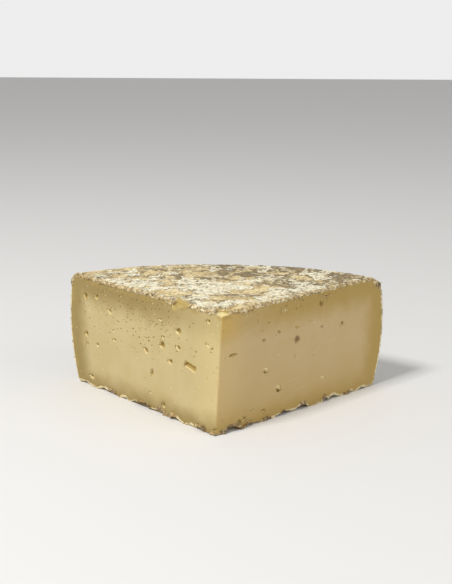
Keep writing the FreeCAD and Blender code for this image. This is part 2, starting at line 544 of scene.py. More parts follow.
# %% Shape the knocks
CORNER_BACK = 2.6
CORNER_DOWN = 2.4
CORNER_SIDE = 0.4
CORNER_TURN = math.radians(-6)
CORNER_BLOCK = 14.0
NOTCH = (8.0, 10.0, 1.7)
NOTCH_SIDE = 1.2
NOTCH_TURN = math.radians(-4)
FLAKE = ("left", 26.0, 48.9)
FLAKE_IN = 1.3
FLAKE_TURN = math.radians(19)
FLAKE_TILT = math.radians(32)
FLAKE_BLOCK = (13, 8, 14)
FLAKE_SHIFT = 2.8
FLAKE_GROW = 0.25


def corner_notch():
    """A block that takes the rind off the sharp corner and leaves the top of the paste bare."""
    width, back, deep = (size * MM for size in NOTCH)
    size = Vector((width, 2 * back, 2 * deep))
    return corner + Vector((NOTCH_SIDE * MM, 0, wheel_height)), size, Euler((0, 0, NOTCH_TURN))


def corner_break():
    """A block whose lower face runs from the sharp edge up to the top, and how it is turned."""
    slope = math.atan2(CORNER_DOWN, CORNER_BACK)
    face = corner + Vector((CORNER_SIDE, CORNER_BACK / 2, wheel_height / MM - CORNER_DOWN / 2)) * MM
    out = Vector((0, -math.sin(slope), math.cos(slope)))
    size = CORNER_BLOCK * MM
    return face + out * (size / 2), Vector((size, size, size)), Euler((slope, 0, CORNER_TURN))


def flake_break(grow):
    """A block whose inner face slants in from the cut and is turned a little to the rim."""
    side, along, height = FLAKE
    level = ALONG[side] * math.cos(FLAKE_TURN) - OUTWARD[side] * math.sin(FLAKE_TURN)
    facing = OUTWARD[side] * math.cos(FLAKE_TURN) + ALONG[side] * math.sin(FLAKE_TURN)
    facing = facing * math.cos(FLAKE_TILT) + Vector((0, 0, math.sin(FLAKE_TILT)))
    rising = level.cross(facing)
    size = Vector(FLAKE_BLOCK)
    face = on_cut(side, along, height, -FLAKE_IN)
    middle = face + (level * (FLAKE_SHIFT - size.x / 2) + facing * (size.y / 2 - grow) + rising) * MM
    return middle, size * MM, Matrix((level, facing, rising)).transposed().to_euler()


print("the flake lies", FLAKE[1], "mm along the", FLAKE[0], "cut")

# %% Knock the corner and the flake off
CARVE_TRIES = 4
CARVE_NUDGE = Vector((0.05, 0.03, 0.04)) * MM
SOFT_REACH = 4 * MM
SOFT_SHARE = 1.8


def carve(obj, tool):
    """Cuts the tool out of the piece, and again from a hair's breadth aside where that fails."""
    whole = obj.data.copy()
    for attempt in range(CARVE_TRIES):
        crossing = attempt > 0
        modify(obj, "BOOLEAN", operation="DIFFERENCE", solver="EXACT", object=tool, use_self=crossing)
        if len(obj.data.polygons) > len(whole.polygons) / 2:
            break
        print("cut made again:", tool.name)
        obj.data = whole.copy()
        tool.data.transform(Matrix.Translation(CARVE_NUDGE))
    bpy.data.meshes.remove(whole)
    remove(tool)


def knock(obj, name, shape, place):
    carve(obj, scatter(name, [shape], [place]))


rough_block = make_block("rough_block", 0.05)
knock(paste, "paste_corner", rough_block, corner_break())
knock(paste, "paste_flake", rough_block, flake_break(0))
soften = points_of(paste) - np.array(corner + Vector((0, 0, wheel_height - CORNER_DOWN * MM / 2)))
weigh(paste, "knocked", np.clip(SOFT_SHARE - np.linalg.norm(soften, axis=1) / SOFT_REACH, 0, 1))
modify(paste, "SMOOTH", vertex_group="knocked", factor=0.5, iterations=8)
knock(rind, "rind_corner", rough_block, corner_notch())
knock(rind, "rind_flake", rough_block, flake_break(FLAKE_GROW))
print("knocked paste", len(paste.data.polygons), "rind", len(rind.data.polygons))

# %% [markdown]
# ## Curl and lean
#
# As it dries, the cheese curls a little off the shelf at its cuts, here more and there less, and
# its sharp corner leans to one side, as a hand-held knife leaves it. Both happen to paste and rind
# alike, so each is one displacement that both get when their own shapes are done. What would go
# through the shelf is pressed flat.

# %% Curl the foot, lean the corner
CURL_REACH = 4.0
CURL_HEIGHT = 3.4
CURL_END = 92.0
CURL_FADE = 10
CURL_LUMPS = 7
CURL = 5.0
CURL_LEVEL = 0.45
LEAN = 1.2
LEAN_REACH = 55.0


def curl_foot(obj):
    """Lifts the foot a little off the shelf at both cuts, here more and there less."""
    points = points_of(obj) / MM
    inward = np.minimum(*depths_below_cuts(points * MM)) / MM
    reach = np.hypot(points[:, 0] - corner.x / MM, points[:, 1] - corner.y / MM)
    near = np.clip(1.2 - inward / CURL_REACH, 0, 1) * np.clip((CURL_END - reach) / CURL_FADE, 0, 1)
    weigh(obj, "curl", near * np.clip(1.5 - points[:, 2] / CURL_HEIGHT, 0, 1))
    modify(
        obj,
        "DISPLACE",
        texture=cloudy("curl", CURL_LUMPS, 1),
        strength=CURL * MM,
        mid_level=CURL_LEVEL,
        direction="Z",
        texture_coords="LOCAL",
        vertex_group="curl",
    )


def stand(obj):
    """Flattens what hangs below the shelf onto it."""
    choose(obj, "VERT", lambda vertex: vertex.co.z < low.z)
    bpy.ops.transform.resize(value=(1, 1, 0), center_override=low)
    leave_edit()


def lean_corner(obj):
    """Leans the sharp corner to one side, as a hand-held knife leaves it, and the cuts with it."""
    points = points_of(obj)
    reach = np.hypot(points[:, 0] - corner.x, points[:, 1] - corner.y) / MM
    near = np.clip(1 - reach / LEAN_REACH, 0, 1)
    level = points[:, 2] / wheel_height * 2 - 1
    for name, shift, share in (("lean_top", LEAN, level), ("lean_base", -LEAN, -level)):
        weigh(obj, name, near * np.clip(share, 0, 1))
        modify(obj, "DISPLACE", strength=shift * MM, mid_level=0, direction="X", vertex_group=name)


print("the corner leans by", LEAN, "mm at the top and at the base")

# %% [markdown]
# ## Eyes and pits in the paste
#
# Small round eyes form as the paste ferments, and the wire drags smaller pits open as it passes.
# They could be painted dark, but a real hollow has a shaded upper lip and a lit lower one. So each
# is a lump sunk halfway into the cut and tipped, so that it is deep at the top and runs out gently
# at the bottom, and each kind is taken away in one boolean. Their finish adds painted shade on the
# floors and a painted highlight on the lower walls as well.
# A row gives the cut, the distance from the sharp corner, the height, the length, the rise, the
# lean in degrees and, where it isn't the usual one, the depth; lengths are in millimetres.

# %% Where the eyes are
SLIT_DEPTH = 0.55
SLITS = [("left", 17.0, 25.2, 5.6, 2.2, -12, SLIT_DEPTH)]
EYES = [
    ("left", 24.5, 38.4, 3.2, 2.3, 0),
    ("left", 34.9, 30.4, 3.2, 2.6, 20),
    ("left", 29.7, 24.6, 2.7, 2.1, 0),
    ("left", 24.5, 31.5, 2.9, 1.8, -15),
    ("left", 45.7, 25.7, 3.4, 2.1, -30),
    ("left", 34.2, 4.6, 2.4, 3.1, 15),
    ("left", 88.7, 41.5, 3.0, 2.8, -30),
    ("left", 88.6, 24.0, 2.6, 2.4, 0),
    ("left", 41.7, 17.1, 1.7, 3.4, 10),
    ("left", 70.9, 37.8, 3.0, 1.7, -25),
    ("left", 80.4, 42.9, 2.8, 2.5, 15),
    ("left", 80.3, 20.5, 2.0, 1.8, 0),
    ("left", 5.9, 46.2, 2.0, 1.9, 0),
    ("left", 6.5, 36.3, 2.2, 1.2, -10),
    ("left", 3.5, 35.3, 1.5, 1.0, 0),
    ("left", 34.2, 34.0, 1.9, 1.5, 0),
    ("left", 67.6, 25.5, 2.4, 1.4, 0),
    ("left", 88.0, 19.4, 1.6, 2.0, 0),
    ("left", 43.2, 7.6, 1.6, 1.3, -20),
    ("left", 36.1, 41.0, 2.4, 1.2, 0),
    ("left", 68.2, 29.5, 1.5, 1.3, 0),
    ("left", 85.4, 4.6, 3.4, 1.6, -10),
    ("left", 2.1, 2.6, 2.2, 1.2, 0),
    ("right", 26.5, 22.1, 2.8, 3.6, 20, 0.36),
    ("right", 33.7, 12.6, 3.4, 4.6, 25, 0.32),
    ("right", 7.7, 32.5, 3.8, 1.5, 0, 0.6),
    ("right", 25.1, 4.6, 1.9, 1.5, 0),
    ("right", 59.1, 44.7, 1.9, 2.5, -15),
    ("right", 37.7, 45.6, 2.4, 1.6, 0, 0.4),
    ("right", 44.5, 37.0, 1.8, 1.4, 0),
    ("right", 27.8, 42.4, 1.2, 1.1, 0),
    ("right", 33.8, 37.1, 1.5, 1.4, 0),
    ("right", 25.1, 35.2, 1.6, 1.3, 0),
    ("right", 59.8, 34.4, 1.3, 1.1, 0),
    ("right", 61.5, 11.5, 2.8, 1.9, 15, 0.3),
    ("right", 18.1, 7.0, 1.5, 1.0, 0),
    ("right", 14.2, 4.0, 2.0, 1.4, 0),
    ("right", 11.3, 3.3, 1.7, 1.5, 0),
    ("right", 73.0, 33.5, 2.0, 1.4, 0),
    ("right", 46.1, 45.9, 0.9, 0.8, 0),
    ("right", 20.9, 44.0, 0.9, 0.9, 0),
]
print("eyes:", len(EYES), "slits:", len(SLITS))

# %% [markdown]
# The lean will carry the eyes with it, so each starts a little to the other side. A shallow eye is
# tipped less than a deep one, because it would open as a thin line otherwise.

# %% Cut the eyes and pits
EYE_DEPTH = 1.1
EYE_OPENING = 1.3
EYE_TIP = 36.0
SHALLOW_TIP = 18.0
LEAN_AHEAD = {"left": 1.5, "right": -1.5}
PIT_DEPTH = 0.75
PIT_SIZES = (0.45, 1.4)
PIT_USUAL = 0.7
PIT_APART = 0.7
PIT_LEAN = 30


def eye_place(side, along, height, length, rise, lean, depth=EYE_DEPTH):
    level = height * MM / wheel_height * 2 - 1
    shift = LEAN * level * max(0, 1 - along / LEAN_REACH)
    along += LEAN_AHEAD[side] * shift
    opening = Vector((length, 0, rise)) * EYE_OPENING
    sizes = (opening + Vector((0, depth * (length + rise) / 2, 0))) * MM
    tip = SHALLOW_TIP if depth < SLIT_DEPTH else EYE_TIP
    return on_cut(side, along, height), sizes, cut_turn(side, lean, tip)


def pit_places(side, count, along, height):
    """Pits gather in the middle of a cut, so a place is the mean of three throws. They keep apart."""
    pits = []
    for _ in range(count):
        x = sum(dice.uniform(*along) for _ in range(3)) / 3
        z = sum(dice.uniform(*height) for _ in range(3)) / 3
        length = dice.triangular(*PIT_SIZES, PIT_USUAL)
        rise = length * dice.uniform(0.5, 0.9)
        place = eye_place(side, x, z, length, rise, dice.uniform(-PIT_LEAN, PIT_LEAN), PIT_DEPTH)
        if all((place[0] - pit[0]).length > PIT_APART * (length + other) * MM for pit, other in pits):
            pits.append((place, length))
    return [place for place, _ in pits]


eye_lumps = [make_lump("eye_round", 3, 0.35, 0.6), make_lump("eye_uneven", 3, 0.6, 0.4)]
slit_block = make_block("slit_block", 0.12)
pits = pit_places("left", 210, (-6, 104), (18, 58)) + pit_places("right", 14, (0, 90), (4, 60))
hollows = [
    scatter("eyes", eye_lumps, [eye_place(*eye) for eye in EYES]),
    scatter("slits", [slit_block], [eye_place(*slit) for slit in SLITS]),
    scatter("pits", lumps[:1], pits),
]
for hollow in hollows:
    carve(paste, hollow)
curl_foot(paste)
lean_corner(paste)
stand(paste)
print("paste with its eyes:", len(pits), "pits,", len(paste.data.polygons), "faces")

# %% [markdown]
# ## The torn edge of the rind
#
# Dry rind doesn't cut, it crumbles: its edge at both cuts is a row of clinging crumbs, thicker in
# some places and drooping over the paste in others, and at the base it has gaps. Crumbs laid on
# top would look glued on. So lumps are joined to the shell and a voxel remesh melts them all into
# one skin. Then the parts that nobody sees, against the paste, are thinned out.

# %% Melt crumbs into the rind's edge
VOXEL = 0.56 * MM
INNER_SHARE = 0.05
EDGE_END = 98.0
SHOULDERS = {"left": SHOULDER_LEFT / MM, "right": SHOULDER_RIGHT / MM}
BARE_CORNER = {"left": 4.4, "right": 5.4}
THICK_EDGES = {
    "left": [(11.5, 8, 0.7), (30, 4, 1.3), (43, 8, -0.7), (55, 6, 0.5), (95, 30, 0.6)],
    "right": [(14, 9, 1.6), (60, 7, 0.6), (92, 26, 1.4)],
}
FOOT_END = 93.5
CRUMBLY_FEET = {
    "left": [(0, 12), (25, 38), (42, 52), (64, 72)],
    "right": [(1, 30), (35, 38), (47, 51), (61, 64), (75, 79)],
}
LARGE_LUMPS = [
    ("left", 27.5, 1.9, 2.3),
    ("left", 7.6, 1.4, 1.9),
    ("right", 12.5, 0.9, 2.6),
    ("right", 15.0, 1.0, 1.7),
]
TOP_COUNT = 760
FOOT_COUNTS = {"left": 240, "right": 260}
RIM_COUNT = 150
DROOP = 1.5
FLAKE_START, FLAKE_END = 18.3, 28.3
FLAKE_FALL = 0.53


def within(stretches, along):
    return any(start <= along <= end for start, end in stretches)


def droop(side, along):
    """How far below the top the rind's edge reaches, in millimetres."""
    phase = {"left": 0.4, "right": 2.1}[side]
    slow = math.sin(along / 9.5 + phase) + 0.6 * math.sin(along / 4.1 + 2 * phase)
    thick = sum(rise * max(0, 1 - abs(along - at) / reach) for at, reach, rise in THICK_EDGES[side])
    return DROOP + 0.3 * slow + thick


def top_drop(side, along):
    """How far the rounded top lies below the wheel's full height at the cuts."""
    past = max(0.0, along - EDGE_END + SHOULDERS[side])
    shoulder = SHOULDERS[side] - math.sqrt(max(0.0, SHOULDERS[side] ** 2 - past**2))
    rise = end_rise(side, along * MM / wheel_radius)
    return (wheel_height - crown_height(along * MM)) / MM + shoulder - rise


def is_bare(side, along, height):
    """No crumbs cling where the corner and the flake broke away."""
    flake_edge = wheel_height / MM - 1 - (along - FLAKE_START - 2) * FLAKE_FALL
    in_flake = side == FLAKE[0] and FLAKE_START < along < FLAKE_END and height > flake_edge
    return in_flake or along < BARE_CORNER[side]


def top_lumps(side, count):
    places = []
    for _ in range(count):
        along = dice.uniform(1, EDGE_END - 1)
        size = dice.triangular(0.5, 1.8, 0.75)
        if along > EDGE_END - SHOULDERS[side]:
            size *= 0.6
        reach = dice.uniform(0.2, 1) * (droop(side, along) - size / 2)
        height = wheel_height / MM - top_drop(side, along) - reach
        if not is_bare(side, along, height + size / 2):
            place = on_cut(side, along, height, dice.uniform(-0.6, 0.35) - 0.25 * size)
            places.append((place, uneven_size(size), any_turn()))
    return places


def foot_lumps(side, count):
    """Crumbs where the foot crumbled, and elsewhere a smooth lip of long low lumps."""
    places = []
    for _ in range(count):
        along = dice.uniform(0.5, FOOT_END)
        stepped = side == "left" and along > FOOT_STEP
        lift = FOOT_LIFT / MM - (along - FOOT_STEP) * math.tan(FOOT_SLOPE) if stepped else 0.0
        if within(CRUMBLY_FEET[side], along):
            size = dice.triangular(0.7, 2.0, 1.0)
            sizes, turn = uneven_size(size), any_turn()
            place = on_cut(side, along, lift + dice.uniform(0.4, 1.7), dice.uniform(-0.8, 0.3))
        else:
            sizes = Vector((dice.uniform(3, 6), 1.3, dice.uniform(0.9, 1.3))) * MM
            turn = cut_turn(side, dice.uniform(-3, 3))
            place = on_cut(side, along, lift + 0.65, dice.uniform(-0.35, -0.2))
        places.append((place, sizes, turn))
    return places


def rim_lumps(side, count):
    """A thin line of crumbs where the rim's rind was cut through."""
    places = []
    for _ in range(count):
        height = dice.uniform(3, 48)
        size = dice.triangular(0.7, 1.4, 1.0)
        along = rim_radius(height * MM) / MM - 0.15 - size / 2
        place = on_cut(side, along, height, dice.uniform(-0.3, 0.1))
        places.append((place, uneven_size(size), any_turn()))
    return places


def uneven_size(size):
    return Vector([size * dice.uniform(0.7, 1.3) * MM for _ in range(3)])


places = []
for lumps_along, counts in (
    (top_lumps, {"left": TOP_COUNT, "right": TOP_COUNT}),
    (foot_lumps, FOOT_COUNTS),
    (rim_lumps, {"left": RIM_COUNT, "right": RIM_COUNT}),
):
    for side, count in counts.items():
        places += lumps_along(side, count)
for side, along, height, size in LARGE_LUMPS:
    places.append((on_cut(side, along, height, 0.5), uneven_size(size), any_turn()))
torn_edge = scatter("torn_edge", lumps, places)
rind = join("rind", [rind, torn_edge])
modify(rind, "REMESH", mode="VOXEL", voxel_size=VOXEL)
print("melted rind:", triangles(rind), "triangles")

# %% [markdown]
# ## Relief of the rind
#
# A dry rind has slow swells, plates a few millimetres wide with cracks between them, knobs on the
# plates, and a fine grit. One texture can't hold four scales, so each has its own displace
# modifier. They move the skin only: the side that lies against the paste stays, so that no gap
# opens. The crumbs at the cuts get a coarser, sideways push instead. Then the rind curls and leans
# as the paste did.

# %% Push the skin in and out
def cracked(name, size):
    """A cell texture that is dark along the cells' borders, for plates with cracks between them."""
    texture = bpy.data.textures.new(name, "VORONOI")
    texture.noise_scale = size * MM
    texture.weight_1 = -1
    texture.weight_2 = 1
    texture.noise_intensity = 1.6
    return texture


def distances(obj, points):
    """How far each point lies from obj's surface."""
    tree = BVHTree.FromPolygons(
        [v.co for v in obj.data.vertices], [f.vertices for f in obj.data.polygons]
    )
    return np.array([tree.find_nearest(point)[3] for point in points])


SKIN_DEPTH = 0.5 * MM
CRUMBLE_DEPTH = 1.2 * MM
RIM_BAND = (4 * MM, 44 * MM)
RIM_TORN = 0.3
HIDDEN_DEPTHS = (1.0 * MM, 3 * MM)

points = points_of(rind)
below_skin = distances(wheel, points)
below_cut = np.minimum(*depths_below_cuts(points))
weigh(rind, "skin", np.clip(1.8 - below_skin / SKIN_DEPTH, 0, 1))
thick_edge = np.where((points[:, 2] > RIM_BAND[1]) | (points[:, 2] < RIM_BAND[0]), 1.0, RIM_TORN)
weigh(rind, "torn", np.clip(1.6 - below_cut / CRUMBLE_DEPTH, 0, 1) * thick_edge)
hidden = (below_skin > HIDDEN_DEPTHS[0]) & (below_cut > HIDDEN_DEPTHS[1])
for texture, strength, group, direction in (
    (cloudy("swells", 24, 1), 0.5 * MM, "skin", "NORMAL"),
    (cracked("plates", 5.2), 0.4 * MM, "skin", "NORMAL"),
    (cloudy("plate_tops", 3.2, 2, "HARD_NOISE"), 0.35 * MM, "skin", "NORMAL"),
    (cloudy("grit", 1.2, 2), 0.2 * MM, "skin", "NORMAL"),
    (cloudy("crumble", 1.7, 2, colour=True), 1.0 * MM, "torn", "RGB_TO_XYZ"),
):
    modify(
        rind,
        "DISPLACE",
        texture=texture,
        strength=strength,
        texture_coords="LOCAL",
        vertex_group=group,
        direction=direction,
    )
curl_foot(rind)
lean_corner(rind)
choose(rind, "FACE", lambda face: all(hidden[index] for index in face.vertices))
bpy.ops.mesh.decimate(ratio=INNER_SHARE)
leave_edit()
stand(rind)
print("thinned rind:", triangles(rind), "triangles")

# %% [markdown]
# ## Loose crumbs and shreds
#
# The knife drags crumbs of rind over the cuts, where they stick, and a few shreds of rind hang from
# the right cut's upper edge. They are the same lumps again, small, half sunk into the paste, and
# drawn out thin for the shreds. They stay a piece of their own.

# %% Stick crumbs to the cuts
SHREDS = [
    ("right", 61.0, 47.6, 2.6, 20),
    ("right", 62.6, 46.9, 3.2, 52),
    ("right", 63.8, 47.8, 2.4, -28),
    ("right", 58.5, 48.2, 1.8, 65),
    ("right", 34.6, 46.0, 2.2, 80),
]
SHRED_WIDTH = 0.42
CRUMB_SIZES = (0.25, 0.8, 0.35)
CRUMB_FALL = 2.2
CRUMB_LOWEST = 4
CRUMB_COUNTS = {"left": 44, "right": 30}


def crumb_places(side, count):
    """Most crumbs stick just under the rind's edge, a few fell further."""
    places = []
    for _ in range(count):
        along = dice.uniform(2, EDGE_END - 3)
        fall = dice.expovariate(1 / CRUMB_FALL)
        height = wheel_height / MM - top_drop(side, along) - droop(side, along) - fall
        size = dice.triangular(*CRUMB_SIZES)
        if height > CRUMB_LOWEST:
            places.append((on_cut(side, along, height), uneven_size(size), any_turn()))
    return places


places = [place for side, count in CRUMB_COUNTS.items() for place in crumb_places(side, count)]
for side, along, height, length, lean in SHREDS:
    sizes = Vector((length, SHRED_WIDTH, SHRED_WIDTH)) * MM
    places.append((on_cut(side, along, height, 0.25), sizes, cut_turn(side, lean)))
crumbs = scatter("crumbs", lumps, places)
lean_corner(crumbs)
print("crumbs:", len(places), "pieces,", triangles(crumbs), "triangles")

# %% [markdown]
# ## Pieces and their finish
#
# The finishes are built from nodes. First two small helpers: one adds a node and fills its sockets,
# with a value or a link, and one opens a group with named sockets.

# %% Helpers for nodes
def add(tree, kind, inputs=None, **settings):
    """Adds a node, sets its properties, and sets or links its inputs by name or number."""
    node = tree.nodes.new(kind)
    for key, value in settings.items():
        setattr(node, key, value)
    for key, value in (inputs or {}).items():
        if isinstance(value, bpy.types.NodeSocket):
            tree.links.new(value, node.inputs[key])
        else:
            node.inputs[key].default_value = value
    return node


def open_group(name, inputs, outputs):
    """A shader group with these sockets, and its input and output nodes."""
    tree = bpy.data.node_groups.new(name, "ShaderNodeTree")
    for socket, kind in inputs.items():
        tree.interface.new_socket(socket, in_out="INPUT", socket_type=kind)
    for socket, kind in outputs.items():
        tree.interface.new_socket(socket, in_out="OUTPUT", socket_type=kind)
    return tree, tree.nodes.new("NodeGroupInput"), tree.nodes.new("NodeGroupOutput")


def use(tree, group, inputs):
    return add(tree, "ShaderNodeGroup", inputs, node_tree=group)


def calc(tree, operation, a, b=0.0, clamp=False):
    """One step of arithmetic."""
    node = add(tree, "ShaderNodeMath", {0: a, 1: b}, operation=operation, use_clamp=clamp)
    return node.outputs[0]


def ramp(tree, value, start, end, low=0.0, high=1.0):
    """Low up to start, high from end on, and a smooth rise between."""
    inputs = {"Value": value, "From Min": start, "From Max": end, "To Min": low, "To Max": high}
    return add(tree, "ShaderNodeMapRange", inputs, interpolation_type="SMOOTHSTEP").outputs[0]


def blend(tree, mask, first, second, kind="MIX"):
    """The first colour where the mask is 0, the second where it is 1."""
    node = add(tree, "ShaderNodeMix", data_type="RGBA", blend_type=kind, clamp_factor=True)
    for socket, value in zip((node.inputs[0], node.inputs[6], node.inputs[7]), (mask, first, second)):
        if isinstance(value, bpy.types.NodeSocket):
            tree.links.new(value, socket)
        else:
            socket.default_value = value if isinstance(value, float) else (*value, 1)
    return node.outputs[2]


print("node helpers ready")

# %% [markdown]
# Both finishes need to know where a point lies in the cheese: along each cut, how deep under the
# nearest cut, and how far from the rim. A painter would mask that by hand. Here a group works it
# out from object coordinates, turned so that X runs along the right cut and Y along the left one.

# %% Group: places in the cheese
BASE_SPARE = 5.0
CORNER_BLEND = 3.0
FRAY_SCALE = 6.0
BORDER_WIDTH = (0.03, 0.008)


def group_places():
    tree, start, end = open_group(
        "places in the cheese",
        {"Vector": "NodeSocketVector"},
        {
            "Place": "NodeSocketVector",
            "Depth": "NodeSocketFloat",
            "Reach": "NodeSocketFloat",
            "Side": "NodeSocketFloat",
            "Outside": "NodeSocketFloat",
        },
    )
    # The corner's lean is taken back first, so that the finish is laid out on upright cuts.
    away = add(tree, "ShaderNodeVectorMath", {0: start.outputs["Vector"], 1: corner}, operation="SUBTRACT")
    flat = add(tree, "ShaderNodeVectorMath", {0: away.outputs[0], 1: (1, 1, 0)}, operation="MULTIPLY")
    far = add(tree, "ShaderNodeVectorMath", {0: flat.outputs[0]}, operation="LENGTH").outputs["Value"]
    near = calc(tree, "SUBTRACT", 1.0, calc(tree, "DIVIDE", far, LEAN_REACH * MM), clamp=True)
    height = add(tree, "ShaderNodeSeparateXYZ", {0: start.outputs["Vector"]}).outputs["Z"]
    level = calc(tree, "SUBTRACT", calc(tree, "DIVIDE", height, wheel_height / 2), 1.0)
    lean = calc(tree, "MULTIPLY", calc(tree, "MULTIPLY", near, level), LEAN * MM)
    leant = add(tree, "ShaderNodeCombineXYZ", {"X": lean}).outputs[0]
    upright = add(tree, "ShaderNodeVectorMath", {0: start.outputs["Vector"], 1: leant}, operation="SUBTRACT")
    turned = Matrix.Rotation(-half_angle, 3, "Z") @ (-corner / MM)
    inputs = {"Vector": upright.outputs[0], "Scale": (1 / MM,) * 3, "Location": turned}
    inputs["Rotation"] = (0, 0, -half_angle)
    place = add(tree, "ShaderNodeMapping", inputs).outputs[0]
    parts = add(tree, "ShaderNodeSeparateXYZ", {0: place})
    x, y, z = parts.outputs
    depth = calc(tree, "MINIMUM", x, y)
    reach = calc(tree, "MAXIMUM", x, y)
    side = calc(tree, "GREATER_THAN", x, y)
    flat = add(tree, "ShaderNodeCombineXYZ", {"X": x, "Y": y}).outputs[0]
    radius = add(tree, "ShaderNodeVectorMath", {0: flat}, operation="LENGTH").outputs["Value"]
    above = calc(tree, "SUBTRACT", z, RIM_WIDEST / MM)
    bow = calc(tree, "DIVIDE", calc(tree, "MULTIPLY", above, above), 2 * RIM_BOW / MM)
    to_rim = calc(tree, "SUBTRACT", calc(tree, "SUBTRACT", wheel_radius / MM, bow), radius)
    to_top = calc(tree, "SUBTRACT", wheel_height / MM, z)
    outside = to_rim
    for distance in (to_top, calc(tree, "ADD", z, BASE_SPARE)):
        inputs = {0: outside, 1: distance, 2: CORNER_BLEND}
        outside = add(tree, "ShaderNodeMath", inputs, operation="SMOOTH_MIN").outputs[0]
    found = {"Place": place, "Depth": depth, "Reach": reach, "Side": side, "Outside": outside}
    for name, value in found.items():
        tree.links.new(value, end.inputs[name])
    return tree


def group_patches():
    """Irregular patches: cloudy noise cut at a level, with edges broken up by finer noise."""
    tree, start, end = open_group(
        "ragged patches",
        {
            "Vector": "NodeSocketVector",
            "Size": "NodeSocketFloat",
            "Cover": "NodeSocketFloat",
            "Softness": "NodeSocketFloat",
            "Fray": "NodeSocketFloat",
        },
        {"Mask": "NodeSocketFloat", "Border": "NodeSocketFloat"},
    )
    scale = calc(tree, "DIVIDE", 1.0, start.outputs["Size"])
    vector = start.outputs["Vector"]
    inputs = {"Vector": vector, "Scale": scale, "Detail": 3.0, "Roughness": 0.55, "Distortion": 0.6}
    broad = add(tree, "ShaderNodeTexNoise", inputs).outputs[0]
    inputs = {"Vector": vector, "Scale": calc(tree, "MULTIPLY", scale, FRAY_SCALE), "Detail": 2.0}
    fine = add(tree, "ShaderNodeTexNoise", inputs).outputs[0]
    frayed = calc(tree, "MULTIPLY", calc(tree, "SUBTRACT", fine, 0.5), start.outputs["Fray"])
    level = calc(tree, "ADD", broad, frayed)
    # Noise values gather round one half, so a cover of 0 to 1 maps to levels from 0.75 to 0.25.
    cut = calc(tree, "SUBTRACT", 0.75, calc(tree, "MULTIPLY", start.outputs["Cover"], 0.5))
    inputs = {
        "Value": level,
        "From Min": calc(tree, "SUBTRACT", cut, start.outputs["Softness"]),
        "From Max": calc(tree, "ADD", cut, start.outputs["Softness"]),
    }
    mask = add(tree, "ShaderNodeMapRange", inputs, interpolation_type="SMOOTHSTEP").outputs[0]
    tree.links.new(mask, end.inputs["Mask"])
    from_border = calc(tree, "ABSOLUTE", calc(tree, "SUBTRACT", level, cut))
    tree.links.new(ramp(tree, from_border, *BORDER_WIDTH), end.inputs["Border"])
    return tree


def group_specks():
    """Scattered specks: the middles of some of the cells of a cell pattern."""
    tree, start, end = open_group(
        "specks",
        {
            "Vector": "NodeSocketVector",
            "Spacing": "NodeSocketFloat",
            "Size": "NodeSocketFloat",
            "Share": "NodeSocketFloat",
        },
        {"Mask": "NodeSocketFloat"},
    )
    scale = calc(tree, "DIVIDE", 1.0, start.outputs["Spacing"])
    cells = add(tree, "ShaderNodeTexVoronoi", {"Vector": start.outputs["Vector"], "Scale": scale})
    reach = calc(tree, "MULTIPLY", cells.outputs["Distance"], start.outputs["Spacing"])
    throw = add(tree, "ShaderNodeSeparateColor", {0: cells.outputs["Color"]})
    chosen = calc(tree, "LESS_THAN", throw.outputs[0], start.outputs["Share"])
    # Each speck has its own size, from a third of the full one up.
    own = calc(tree, "MULTIPLY", start.outputs["Size"], ramp(tree, throw.outputs[1], 0.0, 1.0, 0.33, 1.0))
    inputs = {"Value": reach, "From Min": own, "From Max": calc(tree, "MULTIPLY", own, 0.4)}
    spot = add(tree, "ShaderNodeMapRange", inputs, interpolation_type="SMOOTHSTEP").outputs[0]
    tree.links.new(calc(tree, "MULTIPLY", spot, chosen), end.inputs["Mask"])
    return tree


places_group = group_places()
patches_group = group_patches()
specks_group = group_specks()
print("groups:", [group.name for group in bpy.data.node_groups])

# %% [markdown]
# ## The paste
#
# Ivory paste is a little see-through, satin, and never one colour. It could get one colour and a
# noise, but then the ripe border wouldn't follow the rind. So its colour is a coat, built up layer
# over layer, each where its masks allow it. Lengths in the finishes are in millimetres, and a noise
# gathers round one half, so the ramps over a noise start and end close to that.

# %% Helpers for finishes
def new_material(name):
    """A material with a bare shader, and the node that tells where in the cheese a point lies."""
    material = bpy.data.materials.new(name)
    material.use_nodes = True
    tree = material.node_tree
    tree.nodes.clear()
    shader = tree.nodes.new("ShaderNodeBsdfPrincipled")
    output = tree.nodes.new("ShaderNodeOutputMaterial")
    tree.links.new(shader.outputs[0], output.inputs["Surface"])
    where = use(tree, places_group, {"Vector": tree.nodes.new("ShaderNodeTexCoord").outputs["Object"]})
    return material, tree, shader, where


def noise(tree, vector, size, detail=2.0):
    """Cloudy noise with lumps of that size, from 0 to 1."""
    inputs = {"Vector": vector, "Scale": 1 / size, "Detail": detail}
    return add(tree, "ShaderNodeTexNoise", inputs).outputs[0]


def speckle(tree, place, spacing, size, share):
    """1 on small specks, this far apart and this large, in that share of their cells."""
    inputs = {"Vector": place, "Spacing": spacing, "Size": size, "Share": share}
    return use(tree, specks_group, inputs).outputs["Mask"]


def scaled(tree, *factors):
    """The product of masks and numbers."""
    product = factors[0]
    for factor in factors[1:]:
        product = calc(tree, "MULTIPLY", product, factor)
    return product


def roughen(tree, shader, height):
    """Lets a height in metres tilt the surface."""
    bump = add(tree, "ShaderNodeBump", {"Height": height, "Strength": 1.0, "Distance": 1.0})
    tree.links.new(bump.outputs[0], shader.inputs["Normal"])


class Coat:
    """A colour that is built up layer over layer."""

    def __init__(self, tree, colour):
        self.tree = tree
        self.colour = colour

    def over(self, colour, *masks):
        """Lays a colour over the coat, as far as the product of the masks says."""
        self.colour = blend(self.tree, scaled(self.tree, *masks), self.colour, colour)


print("finish helpers ready")
